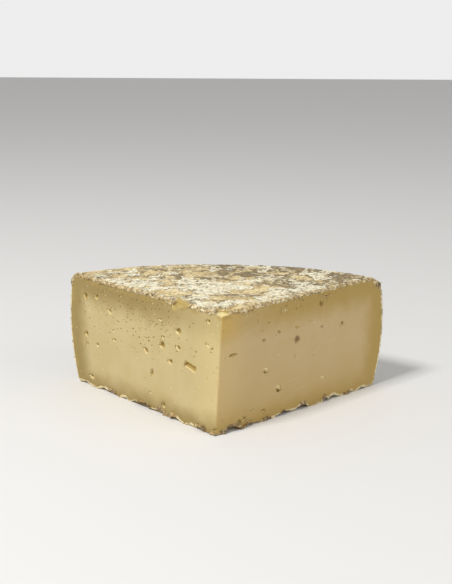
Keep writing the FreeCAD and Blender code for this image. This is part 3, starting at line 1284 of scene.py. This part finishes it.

# %% [markdown]
# The paste wanders between two close ivories and is brighter at the sharp corner, where light
# passes through it. The knife left faint lines that rise towards the rim. A colour may come as a
# pair, one for each cut: the right cut's copy is warmer, painted warm light falling on that cut.

# %% Paste: the ground
# Each pair is left cut, then right cut; the right one's warmer tint is painted warm light.
PASTE = (0.575, 0.455, 0.21), (0.59, 0.43, 0.20)
PASTE_PALE = (0.625, 0.505, 0.26), (0.615, 0.455, 0.23)
PASTE_CORNER = (0.70, 0.56, 0.26), (0.70, 0.51, 0.22)
# A cream for the knife's drag lines, also used as a painted highlight on the lower walls of eyes and pits.
PASTE_CREAM_AND_HIGHLIGHT = (0.84, 0.72, 0.37)
CLOUD_SIZE = 14.0
BRIGHT_REACH = (20.0, 0.5)
DRAG_SLOPE = 0.27
DRAG_FINE = 0.75
DRAG_LONG = 0.035


def drag_lines(tree, place, reach):
    """Faint lines that the knife dragged over the cuts, rising towards the rim."""
    height = add(tree, "ShaderNodeSeparateXYZ", {0: place}).outputs["Z"]
    across = calc(tree, "SUBTRACT", height, calc(tree, "MULTIPLY", reach, DRAG_SLOPE))
    parts = {"X": calc(tree, "MULTIPLY", across, DRAG_FINE), "Y": calc(tree, "MULTIPLY", reach, DRAG_LONG)}
    stretched = add(tree, "ShaderNodeCombineXYZ", parts).outputs[0]
    lines = ramp(tree, noise(tree, stretched, 1.0, 3.0), 0.58, 0.75)
    return scaled(tree, lines, ramp(tree, noise(tree, place, 19.0), 0.42, 0.6))


def ground_paste(tree, where):
    place, reach, side = (where.outputs[name] for name in ("Place", "Reach", "Side"))
    fresh, pale, bright = (blend(tree, side, *pair) for pair in (PASTE, PASTE_PALE, PASTE_CORNER))
    clouds = ramp(tree, noise(tree, place, CLOUD_SIZE, 3.0), 0.3, 0.7, 0.0, 0.7)
    coat = Coat(tree, blend(tree, clouds, fresh, pale))
    coat.over(bright, ramp(tree, reach, *BRIGHT_REACH, 0.0, 0.65))
    coat.over(PASTE_CREAM_AND_HIGHLIGHT, drag_lines(tree, place, reach), side, 0.22)
    return coat


print("drag lines rise", DRAG_SLOPE, "mm in each mm")

# %% [markdown]
# A cheese ripens from its rind inwards, so the paste darkens to olive in the last centimetre or
# two before it. At the sharp corner the dark border thins out, and on its right side the top of
# the paste gets a painted amber shade. The foot of the right cut is a little darker too.

# %% Paste: ripening
# Left cut, then right cut; the right one's warmer tint is painted warm light.
PASTE_RIPE = (0.345, 0.245, 0.079), (0.47, 0.318, 0.088)
PASTE_AMBER_SHADE = (0.64, 0.42, 0.118)
RIPE_BORDER = (19.5, 8.5)
RIPE_WANDER = 7.0
DARKER_RIGHT_FOOT = (26.0, 3.0)
THIN_REACH = (6.0, 50.0)
THIN_HEIGHT = (20.0, 34.0)
THIN_SHARES = (0.35, 0.5)
AMBER_SHADE_REACH = (15.0, 3.0)
AMBER_SHADE_HEIGHT = (35.0, 44.0)


def ripen_paste(tree, where, coat):
    place, reach, side = (where.outputs[name] for name in ("Place", "Reach", "Side"))
    height = add(tree, "ShaderNodeSeparateXYZ", {0: place}).outputs["Z"]
    ripe = blend(tree, side, *PASTE_RIPE)
    # Darker towards the foot of the right cut.
    coat.over(ripe, side, ramp(tree, height, *DARKER_RIGHT_FOOT, 0.0, 0.4))
    wander = calc(tree, "MULTIPLY", noise(tree, place, 6.0, 3.0), RIPE_WANDER)
    border = calc(tree, "ADD", where.outputs["Outside"], wander)
    left, right = THIN_SHARES
    at_corner = calc(tree, "ADD", calc(tree, "MULTIPLY", side, right - left), left)
    thinned = ramp(tree, height, *THIN_HEIGHT, 1.0, at_corner)
    coat.over(ripe, ramp(tree, border, *RIPE_BORDER), ramp(tree, reach, *THIN_REACH, thinned, 1.0))
    # Painted amber shade high on the right cut, next to the corner.
    high_up = ramp(tree, height, *AMBER_SHADE_HEIGHT, 0.0, 0.85)
    coat.over(PASTE_AMBER_SHADE, side, ramp(tree, reach, *AMBER_SHADE_REACH), high_up)


print("the paste ripens over", RIPE_BORDER[0], "mm")

# %% [markdown]
# Gold, pale and brown specks lie in the paste, and brown ones gather along the sharp edge. One
# ragged brown stain sits high on the right cut. All are far too small to be worth a shape.

# %% Paste: specks and the stain
SPECK_PALE = (0.88, 0.82, 0.58)
SPECK_BROWN = (0.17, 0.10, 0.035)
SPECK_GOLD = (0.45, 0.31, 0.09)
SPECKED_EDGE = (6.0, 2.0)
STAIN = (0.21, 0.125, 0.042)
STAIN_PLACE = (44.6, 0.0, 31.8)
STAIN_REACH = (3.7, 2.6)
STAIN_RAGGED = 3.4


def speck_paste(tree, where, coat):
    place, reach = where.outputs["Place"], where.outputs["Reach"]
    gathered = ramp(tree, noise(tree, place, 12.0), 0.42, 0.55)
    coat.over(SPECK_GOLD, speckle(tree, place, 2.1, 0.42, 0.35), gathered, 0.6)
    coat.over(SPECK_PALE, speckle(tree, place, 2.4, 0.4, 0.12), 0.6)
    coat.over(SPECK_BROWN, speckle(tree, place, 4.3, 0.42, 0.07), 0.75)
    coat.over(SPECK_BROWN, speckle(tree, place, 1.5, 0.36, 0.4), ramp(tree, reach, *SPECKED_EDGE), 0.8)
    away = add(tree, "ShaderNodeVectorMath", {0: place, 1: STAIN_PLACE}, operation="DISTANCE")
    fringe = calc(tree, "MULTIPLY", noise(tree, place, 0.8, 3.0), STAIN_RAGGED)
    ragged = calc(tree, "ADD", away.outputs["Value"], fringe)
    coat.over(STAIN, ramp(tree, ragged, *STAIN_REACH, 0.0, 0.95))


print("the stain lies", STAIN_PLACE[2], "mm above the base")

# %% [markdown]
# Where the cut was knocked open, its depth tells what colour is laid on. The sloping lower walls of
# eyes and pits get a painted cream highlight, as if lit from above, and the floor of an eye gets a
# painted golden shade. The broken corner gets a painted highlight, and a narrow band just under the
# rind's edge gets painted shadow from the rind, partly the ripe zone too. The flake left a slanting
# slope, which is found by its distance from the slope's plane.

# %% Paste: torn places
PASTE_CORNER_HIGHLIGHT = (0.84, 0.70, 0.31)
PASTE_FLAKE = (0.50, 0.365, 0.125)
PASTE_GOLD_SHADE = (0.44, 0.30, 0.075)
RIPE_AND_SHADOW_UNDER_RIND = (4.2, 2.4)
CORNER_REACH = (7.0, 4.0)
CORNER_HEIGHT = (40.0, 45.0)
LIP_HIGHLIGHT_DEPTH = (0.24, 0.42)
EYE_SHADE_DEPTH = (0.5, 0.95)
CORNER_HIGHLIGHT_DEPTH = (0.1, 0.9)
FLAKED_DEPTH = (0.12, 0.35)
FLAKE_THICK = (0.9, 0.5)
FLAKE_WIDE = (8.5, 7.0)


def flake_mask(tree, place):
    """1 on the slope that the flake left."""
    middle = (FLAKE_IN, FLAKE[1], FLAKE[2])
    facing = (
        -math.cos(FLAKE_TURN) * math.cos(FLAKE_TILT),
        math.sin(FLAKE_TURN) * math.cos(FLAKE_TILT),
        math.sin(FLAKE_TILT),
    )
    away = add(tree, "ShaderNodeVectorMath", {0: place, 1: middle}, operation="SUBTRACT").outputs[0]
    off = add(tree, "ShaderNodeVectorMath", {0: away, 1: facing}, operation="DOT_PRODUCT").outputs["Value"]
    far = add(tree, "ShaderNodeVectorMath", {0: away}, operation="LENGTH").outputs["Value"]
    near_plane = ramp(tree, calc(tree, "ABSOLUTE", off), *FLAKE_THICK)
    return scaled(tree, near_plane, ramp(tree, far, *FLAKE_WIDE))


def open_paste(tree, where, coat):
    place, depth, reach = (where.outputs[name] for name in ("Place", "Depth", "Reach"))
    height = add(tree, "ShaderNodeSeparateXYZ", {0: place}).outputs["Z"]
    # Painted shadow in a narrow band under the rind's overhanging edge, partly the ripe zone too.
    ripe_and_shadow = ramp(tree, where.outputs["Outside"], *RIPE_AND_SHADOW_UNDER_RIND)
    coat.over(PASTE_GOLD_SHADE, ripe_and_shadow, ramp(tree, noise(tree, place, 4.5), 0.4, 0.62), 0.6)
    at_corner = ramp(tree, reach, *CORNER_REACH)
    elsewhere = ramp(tree, at_corner, 1.0, 0.0)
    # Painted cream highlight on the shallow lower walls of eyes and pits.
    coat.over(PASTE_CREAM_AND_HIGHLIGHT, elsewhere, ramp(tree, depth, *LIP_HIGHLIGHT_DEPTH, 0.0, 0.8))
    # Painted highlight on the broken corner.
    highlit = scaled(tree, ramp(tree, depth, *CORNER_HIGHLIGHT_DEPTH), ramp(tree, height, *CORNER_HEIGHT, 0.25, 1.0))
    coat.over(PASTE_CORNER_HIGHLIGHT, at_corner, highlit, ramp(tree, noise(tree, place, 1.6), 0.3, 0.55, 0.7, 1.0))
    # Painted golden shade on the floors of eyes.
    coat.over(PASTE_GOLD_SHADE, ramp(tree, depth, *EYE_SHADE_DEPTH), elsewhere)
    coat.over(PASTE_FLAKE, flake_mask(tree, place), ramp(tree, depth, *FLAKED_DEPTH))


print("an eye turns golden from", EYE_SHADE_DEPTH[0], "mm down")

# %% [markdown]
# The layers come together in one material. The paste is satin, with a fine grain in its gloss and
# its relief, and because light scatters a millimetre or so into it, the shader has a little
# subsurface.

# %% Finish: paste
PASTE_ROUGH = (0.42, 0.56)
PASTE_GRAIN = 0.07 * MM


def make_paste_finish():
    material, tree, shader, where = new_material("ivory_paste")
    place = where.outputs["Place"]
    coat = ground_paste(tree, where)
    ripen_paste(tree, where, coat)
    speck_paste(tree, where, coat)
    open_paste(tree, where, coat)
    tree.links.new(coat.colour, shader.inputs["Base Color"])
    rough = ramp(tree, noise(tree, place, 3.0), 0.3, 0.7, *PASTE_ROUGH)
    tree.links.new(rough, shader.inputs["Roughness"])
    roughen(tree, shader, calc(tree, "MULTIPLY", noise(tree, place, 0.7, 3.0), PASTE_GRAIN))
    shader.inputs["Subsurface Weight"].default_value = 0.12
    shader.inputs["Subsurface Radius"].default_value = (1.0, 0.7, 0.3)
    shader.inputs["Subsurface Scale"].default_value = 1.5 * MM
    shader.inputs["Specular IOR Level"].default_value = 0.35
    return material


paste_finish = make_paste_finish()
print("paste finish:", len(paste_finish.node_tree.nodes), "nodes")

# %% [markdown]
# ## The rind
#
# A mountain cheese's rind grows in layers: a tan skin, golden where yeasts bloom, grey-brown fur
# that dries to a crust, and white mould on whatever stands proud; cracks and hollows get painted
# shade. One noise with a colour ramp would look like marble, so each growth is a layer of its own.
# The mould and the painted shade in hollows follow the real relief: how far each point stands above
# the turned wheel, and how deep it lies below its neighbours, are measured once and kept on the mesh.

# %% Measure the rind
HOLLOW_ROUNDS = 3
NOTCH_CLEAR = 3 * MM
NOTCH_FREE = 3.2
TOP_BAND = 47.5 * MM


def keep(obj, name, values):
    """Stores one number per vertex under that name, for the finish to read."""
    obj.data.attributes.new(name, "FLOAT", "POINT").data.foreach_set("value", values)


def measure_relief(obj, smooth):
    """How far each vertex stands above the smooth wheel, in millimetres."""
    faces = [face.vertices for face in smooth.data.polygons]
    tree = BVHTree.FromPolygons([vertex.co for vertex in smooth.data.vertices], faces)
    heights = []
    for vertex in obj.data.vertices:
        near, normal, _, distance = tree.find_nearest(vertex.co)
        heights.append(math.copysign(distance, (vertex.co - near).dot(normal)) / MM)
    return np.array(heights)


def measure_hollows(obj, rounds):
    """How far each vertex lies below its neighbours, in millimetres, averaged over some rounds."""
    points = points_of(obj) / MM
    pairs = np.array([edge.vertices[:] for edge in obj.data.edges])
    ends = np.concatenate([pairs, pairs[:, ::-1]])
    share = 1 / np.maximum(np.bincount(ends[:, 0], minlength=len(points)), 1)

    def around(values):
        return np.bincount(ends[:, 0], values[ends[:, 1]], len(points)) * share

    middle = points
    for _ in range(rounds):
        middle = np.stack([around(middle[:, axis]) for axis in range(3)], axis=1)
    normals = np.array([vertex.normal for vertex in obj.data.vertices])
    return np.sum((middle - points) * normals, axis=1)


def measure_crumbly(obj):
    """1 where the foot crumbled and 0 where it is a smooth lip."""
    turned = points_of(obj) - np.array(corner)
    left, right = (turned @ np.array(ALONG[side]) / MM for side in ("left", "right"))
    crumbly = []
    for along_left, along_right in zip(left, right):
        side = "left" if along_left > along_right else "right"
        crumbly.append(float(within(CRUMBLY_FEET[side], max(along_left, along_right))))
    return crumbly


heights = measure_relief(rind, wheel)
hollows = measure_hollows(rind, HOLLOW_ROUNDS)
# Round the bare corner the rind broke off fresh, so its hollows get no painted shade.
from_notch = np.linalg.norm(points_of(rind) - np.array(corner + Vector((0, 0, wheel_height))), axis=1)
keep(rind, "relief", heights)
keep(rind, "hollow", hollows * np.clip(from_notch / NOTCH_CLEAR - NOTCH_FREE, 0, 1))
keep(rind, "crumbly", measure_crumbly(rind))
on_top = (points_of(rind)[:, 2] > TOP_BAND) & (heights > -1.3)
print("relief of the top at 5, 50 and 95%:", np.percentile(heights[on_top], (5, 50, 95)).round(2))
print("hollows at 5, 50 and 95%:", np.percentile(hollows[on_top], (5, 50, 95)).round(3))

# %% [markdown]
# The growths lie one over the other. Fur covers more towards the right and is darker there, and
# mould covers what stands proud and thins out towards the rim. Small flecks of gold, white and
# brown break up the large patches, and thin dark lines of painted shade, standing in for shadow in
# the cracks, run along some of their borders.

# %% Rind: growths
RIND_TAN = (0.66, 0.50, 0.25)
RIND_GOLD = (0.90, 0.73, 0.40)
RIND_GREY = (0.26, 0.20, 0.115)
RIND_WHITE = (1.0, 0.94, 0.715)
RIND_SHADED_WHITE = (0.80, 0.71, 0.50)
RIND_DARK_AND_SHADE = (0.10, 0.068, 0.03)
RIND_BROWN = (0.36, 0.25, 0.115)
FUR_REACH = (15.0, 85.0)
FUR_COVER = (0.34, 0.66)
DARK_REACH = (30.0, 85.0)
MOULD_RELIEF = (-0.55, 0.1)
MOULD_COVER = (0.42, 0.66)
MOULD_THINS = (50.0, 120.0)
# Each kind of patch: its size, how soft its edge is, how frayed it is, and where its noise starts.
SKIN = (11.0, 0.12, 0.35, 0.0)
FUR = (12.0, 0.05, 0.38, 31.0)
MOULD = (13.0, 0.03, 0.3, 77.0)
SHADED_CRACKS = (5.0, 0.03, 0.3, 13.0)
# The colour of the flecks, how much they cover, how strong they are, and their kind of patch.
FLECKS = [
    (RIND_GOLD, 0.34, 0.5, (5.0, 0.05, 0.3, 55.0)),
    (RIND_WHITE, 0.28, 0.6, (3.8, 0.04, 0.3, 91.0)),
    (RIND_BROWN, 0.27, 0.75, (3.2, 0.05, 0.4, 9.0)),
]


def patches(tree, place, cover, kind):
    """The mask of patches of that kind, and the mask of their borders."""
    size, softness, fray, start = kind
    moved = add(tree, "ShaderNodeVectorMath", {0: place, 1: (start,) * 3}, operation="ADD").outputs[0]
    inputs = {"Vector": moved, "Size": size, "Cover": cover, "Softness": softness, "Fray": fray}
    return use(tree, patches_group, inputs).outputs


def grow_rind(tree, place, parts, relief):
    coat = Coat(tree, blend(tree, patches(tree, place, 0.5, SKIN)["Mask"], RIND_TAN, RIND_GOLD))
    grey = blend(tree, ramp(tree, parts["X"], *DARK_REACH, 0.0, 0.45), RIND_GREY, RIND_DARK_AND_SHADE)
    furry = ramp(tree, parts["X"], *FUR_REACH, *FUR_COVER)
    coat.over(grey, patches(tree, place, furry, FUR)["Mask"], 0.9)
    raised = ramp(tree, relief, *MOULD_RELIEF, *MOULD_COVER)
    far = ramp(tree, calc(tree, "ADD", parts["X"], parts["Y"]), *MOULD_THINS, 0.0, 0.17)
    mould = patches(tree, place, calc(tree, "SUBTRACT", raised, far), MOULD)
    clouded = ramp(tree, noise(tree, place, 3.4, 4.0), 0.45, 0.62, 0.0, 0.8)
    coat.over(blend(tree, clouded, RIND_WHITE, RIND_SHADED_WHITE), mould["Mask"], 0.95)
    for colour, cover, share, kind in FLECKS:
        coat.over(colour, patches(tree, place, cover, kind)["Mask"], share)
    # Painted shade: thin dark lines along the mould's borders and along cracks stand in for shadow in the
    # crevices.
    coat.over(RIND_DARK_AND_SHADE, mould["Border"], ramp(tree, noise(tree, place, 3.2), 0.42, 0.56, 0.0, 0.8))
    crack_shade_share = ramp(tree, noise(tree, place, 4.1), 0.5, 0.6, 0.0, 0.7)
    coat.over(RIND_DARK_AND_SHADE, patches(tree, place, 0.5, SHADED_CRACKS)["Border"], crack_shade_share)
    return coat


print("kinds of flecks:", len(FLECKS))

# %% [markdown]
# At the cuts the torn rind shows its inside: gold and cream crumbs with painted shade in the
# crevices under the top, a thin cream line down the rim, and at the foot a pale smooth lip, with
# brown crumbs where it broke up.

# %% Rind: the torn edge
CRUMB_GOLD = (0.52, 0.35, 0.135)
CRUMB_CREAM = (0.92, 0.80, 0.52)
CRUMB_BROWN_AND_SHADE = (0.16, 0.10, 0.05)
RIM_CREAM = (0.96, 0.87, 0.62)
LIP_CREAM = (0.80, 0.66, 0.38)
FOOT_BAND = (4.5, 2.5)
RIM_FROM = (3.5, 5.5)
RIM_TO = (45.0, 42.0)


def crumble_rind(tree, place, parts, crumbly):
    """The colour of the crumbs, from the foot to the top."""
    mixed = ramp(tree, noise(tree, place, 1.3), 0.46, 0.64)
    coat = Coat(tree, blend(tree, mixed, CRUMB_GOLD, CRUMB_CREAM))
    gaps = ramp(tree, noise(tree, place, 3.2, 3.0), 0.46, 0.38, 0.0, 0.6)
    line = blend(tree, gaps, RIM_CREAM, CRUMB_BROWN_AND_SHADE)
    rim_from, rim_to = (ramp(tree, parts["Z"], *band) for band in (RIM_FROM, RIM_TO))
    coat.over(line, rim_from, rim_to, 0.9)
    foot = blend(tree, ramp(tree, noise(tree, place, 1.1), 0.42, 0.62), CRUMB_BROWN_AND_SHADE, CRUMB_GOLD)
    coat.over(blend(tree, crumbly, LIP_CREAM, foot), ramp(tree, parts["Z"], *FOOT_BAND))
    # Painted shade: dark spots in the crevices between the crumbs under the top.
    crevice_shade = ramp(tree, noise(tree, place, 1.1, 3.0), 0.46, 0.38)
    above_rim = ramp(tree, parts["Z"], *reversed(RIM_TO))
    coat.over(CRUMB_BROWN_AND_SHADE, crevice_shade, above_rim, 0.85)
    return coat.colour


print("the cream line runs from", RIM_FROM[1], "to", RIM_TO[1], "mm")

# %% [markdown]
# The growths, the torn edge, the painted shade in the hollows and a fine mottling come together in
# one matt material. The floor of the flake's notch is bare paste, so it takes the paste's colour.

# %% Finish: rind
TORN_BAND = (1.3, 0.3)
TORN_SHADE = 0.04
HOLLOW_SHADE = (0.03, 0.12)
MOTTLE = (0.62, 1.0)
RIND_GRIT = 0.4 * MM


def make_rind_finish():
    material, tree, shader, where = new_material("mottled_rind")
    place, depth = where.outputs["Place"], where.outputs["Depth"]
    parts = add(tree, "ShaderNodeSeparateXYZ", {0: place}).outputs
    relief, hollow, crumbly = (
        add(tree, "ShaderNodeAttribute", attribute_type="GEOMETRY", attribute_name=name).outputs["Fac"]
        for name in ("relief", "hollow", "crumbly")
    )
    torn = ramp(tree, depth, *TORN_BAND)
    whole = calc(tree, "SUBTRACT", 1.0, torn)
    coat = grow_rind(tree, place, parts, scaled(tree, relief, whole))
    coat.over(crumble_rind(tree, place, parts, crumbly), torn, 0.85)
    # Painted shade: hollows, and a little more across the torn crumbs, are darkened.
    hollow = calc(tree, "ADD", hollow, calc(tree, "MULTIPLY", torn, TORN_SHADE))
    coat.over(RIND_DARK_AND_SHADE, ramp(tree, hollow, *HOLLOW_SHADE, 0.0, 0.85))
    mottle = ramp(tree, noise(tree, place, 1.2, 4.0), 0.34, 0.52, *MOTTLE)
    coat.colour = blend(tree, 1.0, coat.colour, mottle, "MULTIPLY")
    coat.over(PASTE_FLAKE, flake_mask(tree, place))
    tree.links.new(coat.colour, shader.inputs["Base Color"])
    shader.inputs["Roughness"].default_value = 0.88
    shader.inputs["Specular IOR Level"].default_value = 0.25
    roughen(tree, shader, calc(tree, "MULTIPLY", noise(tree, place, 1.0, 4.0), RIND_GRIT))
    return material


rind_finish = make_rind_finish()
print("rind finish:", len(rind_finish.node_tree.nodes), "nodes")

# %% [markdown]
# ## Dressing
#
# Each piece gets its finish and rides on the one body, and the construction's solid is hidden.
# The paste keeps its sharp edges, and the crusty pieces are smooth all over. The tools and the cores
# have done their work and go.

# %% Dress the pieces
SHARP_ANGLE = math.radians(35)
for obj, finish, slot in (
    (paste, paste_finish, "paste"),
    (rind, rind_finish, "rind"),
    (crumbs, rind_finish, "rind"),
):
    obj.data.materials.clear()
    obj.data.materials.append(finish)
    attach(obj, "root")
    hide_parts("cheese")
only(paste)
bpy.ops.object.shade_smooth_by_angle(angle=SHARP_ANGLE)
for rough in (rind, crumbs):
    only(rough)
    bpy.ops.object.shade_smooth()
for tool in lumps + eye_lumps + [slit_block, rough_block, wheel, paste_core, rind_core]:
    remove(tool)
print("pieces:", {obj.name: triangles(obj) for obj in (paste, rind, crumbs)})

# %% [markdown]
# ## Floor, light and camera
#
# A plain pale floor takes the shadow. A pale backdrop could be had with more light, but that would
# bleach the cheese. So the world lights it softly, and is brighter only where the camera, a
# reflection or a clear surface looks straight at it.

# %% Floor and background
FLOOR_SIDE = 6.0
FLOOR_COLOUR = (0.82, 0.81, 0.79, 1)
WORLD_LIGHT = 0.40
WORLD_SEEN = 0.85


def make_floor_finish():
    material = bpy.data.materials.new("pale_floor")
    material.use_nodes = True
    shader = material.node_tree.nodes["Principled BSDF"]
    shader.inputs["Base Color"].default_value = FLOOR_COLOUR
    shader.inputs["Roughness"].default_value = 0.7
    return material


bpy.ops.mesh.primitive_plane_add(size=FLOOR_SIDE, location=(0, 0, 0))
floor = bpy.context.object
floor.name = "floor"
floor.data.materials.append(make_floor_finish())

world = bpy.data.worlds.new("studio")
bpy.context.scene.world = world
world.use_nodes = True
sky = world.node_tree
rays = sky.nodes.new("ShaderNodeLightPath").outputs
seen = calc(sky, "MAXIMUM", rays["Is Camera Ray"], rays["Is Glossy Ray"])
seen = calc(sky, "MAXIMUM", seen, rays["Is Transmission Ray"])
strength = calc(sky, "ADD", WORLD_LIGHT, calc(sky, "MULTIPLY", seen, WORLD_SEEN - WORLD_LIGHT))
sky.nodes["Background"].inputs["Color"].default_value = (1, 1, 1, 1)
sky.links.new(strength, sky.nodes["Background"].inputs["Strength"])
print("floor", FLOOR_SIDE, "m wide, world light", WORLD_LIGHT)

# %% [markdown]
# A small lamp, high on the left, shapes the pits and throws the shadow to the right. A large weak
# one on the right keeps the right cut from falling dark.

# %% Lamps
KEY = {"place": (-0.5, -0.5, 1.0), "size": 0.25, "power": 9.9}
FILL = {"place": (0.9, -0.5, 0.6), "size": 0.8, "power": 2.4}


def lamp(name, place, size, power):
    bpy.ops.object.light_add(type="AREA", location=place)
    light = bpy.context.object
    light.name = name
    light.data.size = size
    light.data.energy = power
    aim = Vector((0, 0, wheel_height / 2)) - Vector(place)
    light.rotation_euler = aim.to_track_quat("-Z", "Y").to_euler()
    return light


print("lamps:", [lamp("key", **KEY).name, lamp("fill", **FILL).name])

# %% [markdown]
# The camera looks over the sharp corner and a little down, as one looks at a cheese on a counter.
# It is turned by hand, so it rolls by a fraction of a degree.

# %% Camera
CAMERA_PLACE = Vector((18.43, -458.66, 159.24)) * MM
CAMERA_AZIMUTH = math.radians(2.19)
CAMERA_PITCH = math.radians(13.73)
CAMERA_ROLL = math.radians(0.22)
CAMERA_LENS = 67.1
bpy.ops.object.camera_add(location=CAMERA_PLACE)
camera = bpy.context.object
camera.data.lens = CAMERA_LENS
camera.data.sensor_width = 36
turn = Matrix.Rotation(CAMERA_AZIMUTH, 3, "Z") @ Matrix.Rotation(math.pi / 2 - CAMERA_PITCH, 3, "X")
camera.rotation_euler = (turn @ Matrix.Rotation(CAMERA_ROLL, 3, "Z")).to_euler()
bpy.context.scene.camera = camera
bpy.context.scene.view_settings.view_transform = "Standard"
print(f"camera {CAMERA_PLACE.length:.2f} m away, lens {CAMERA_LENS} mm")
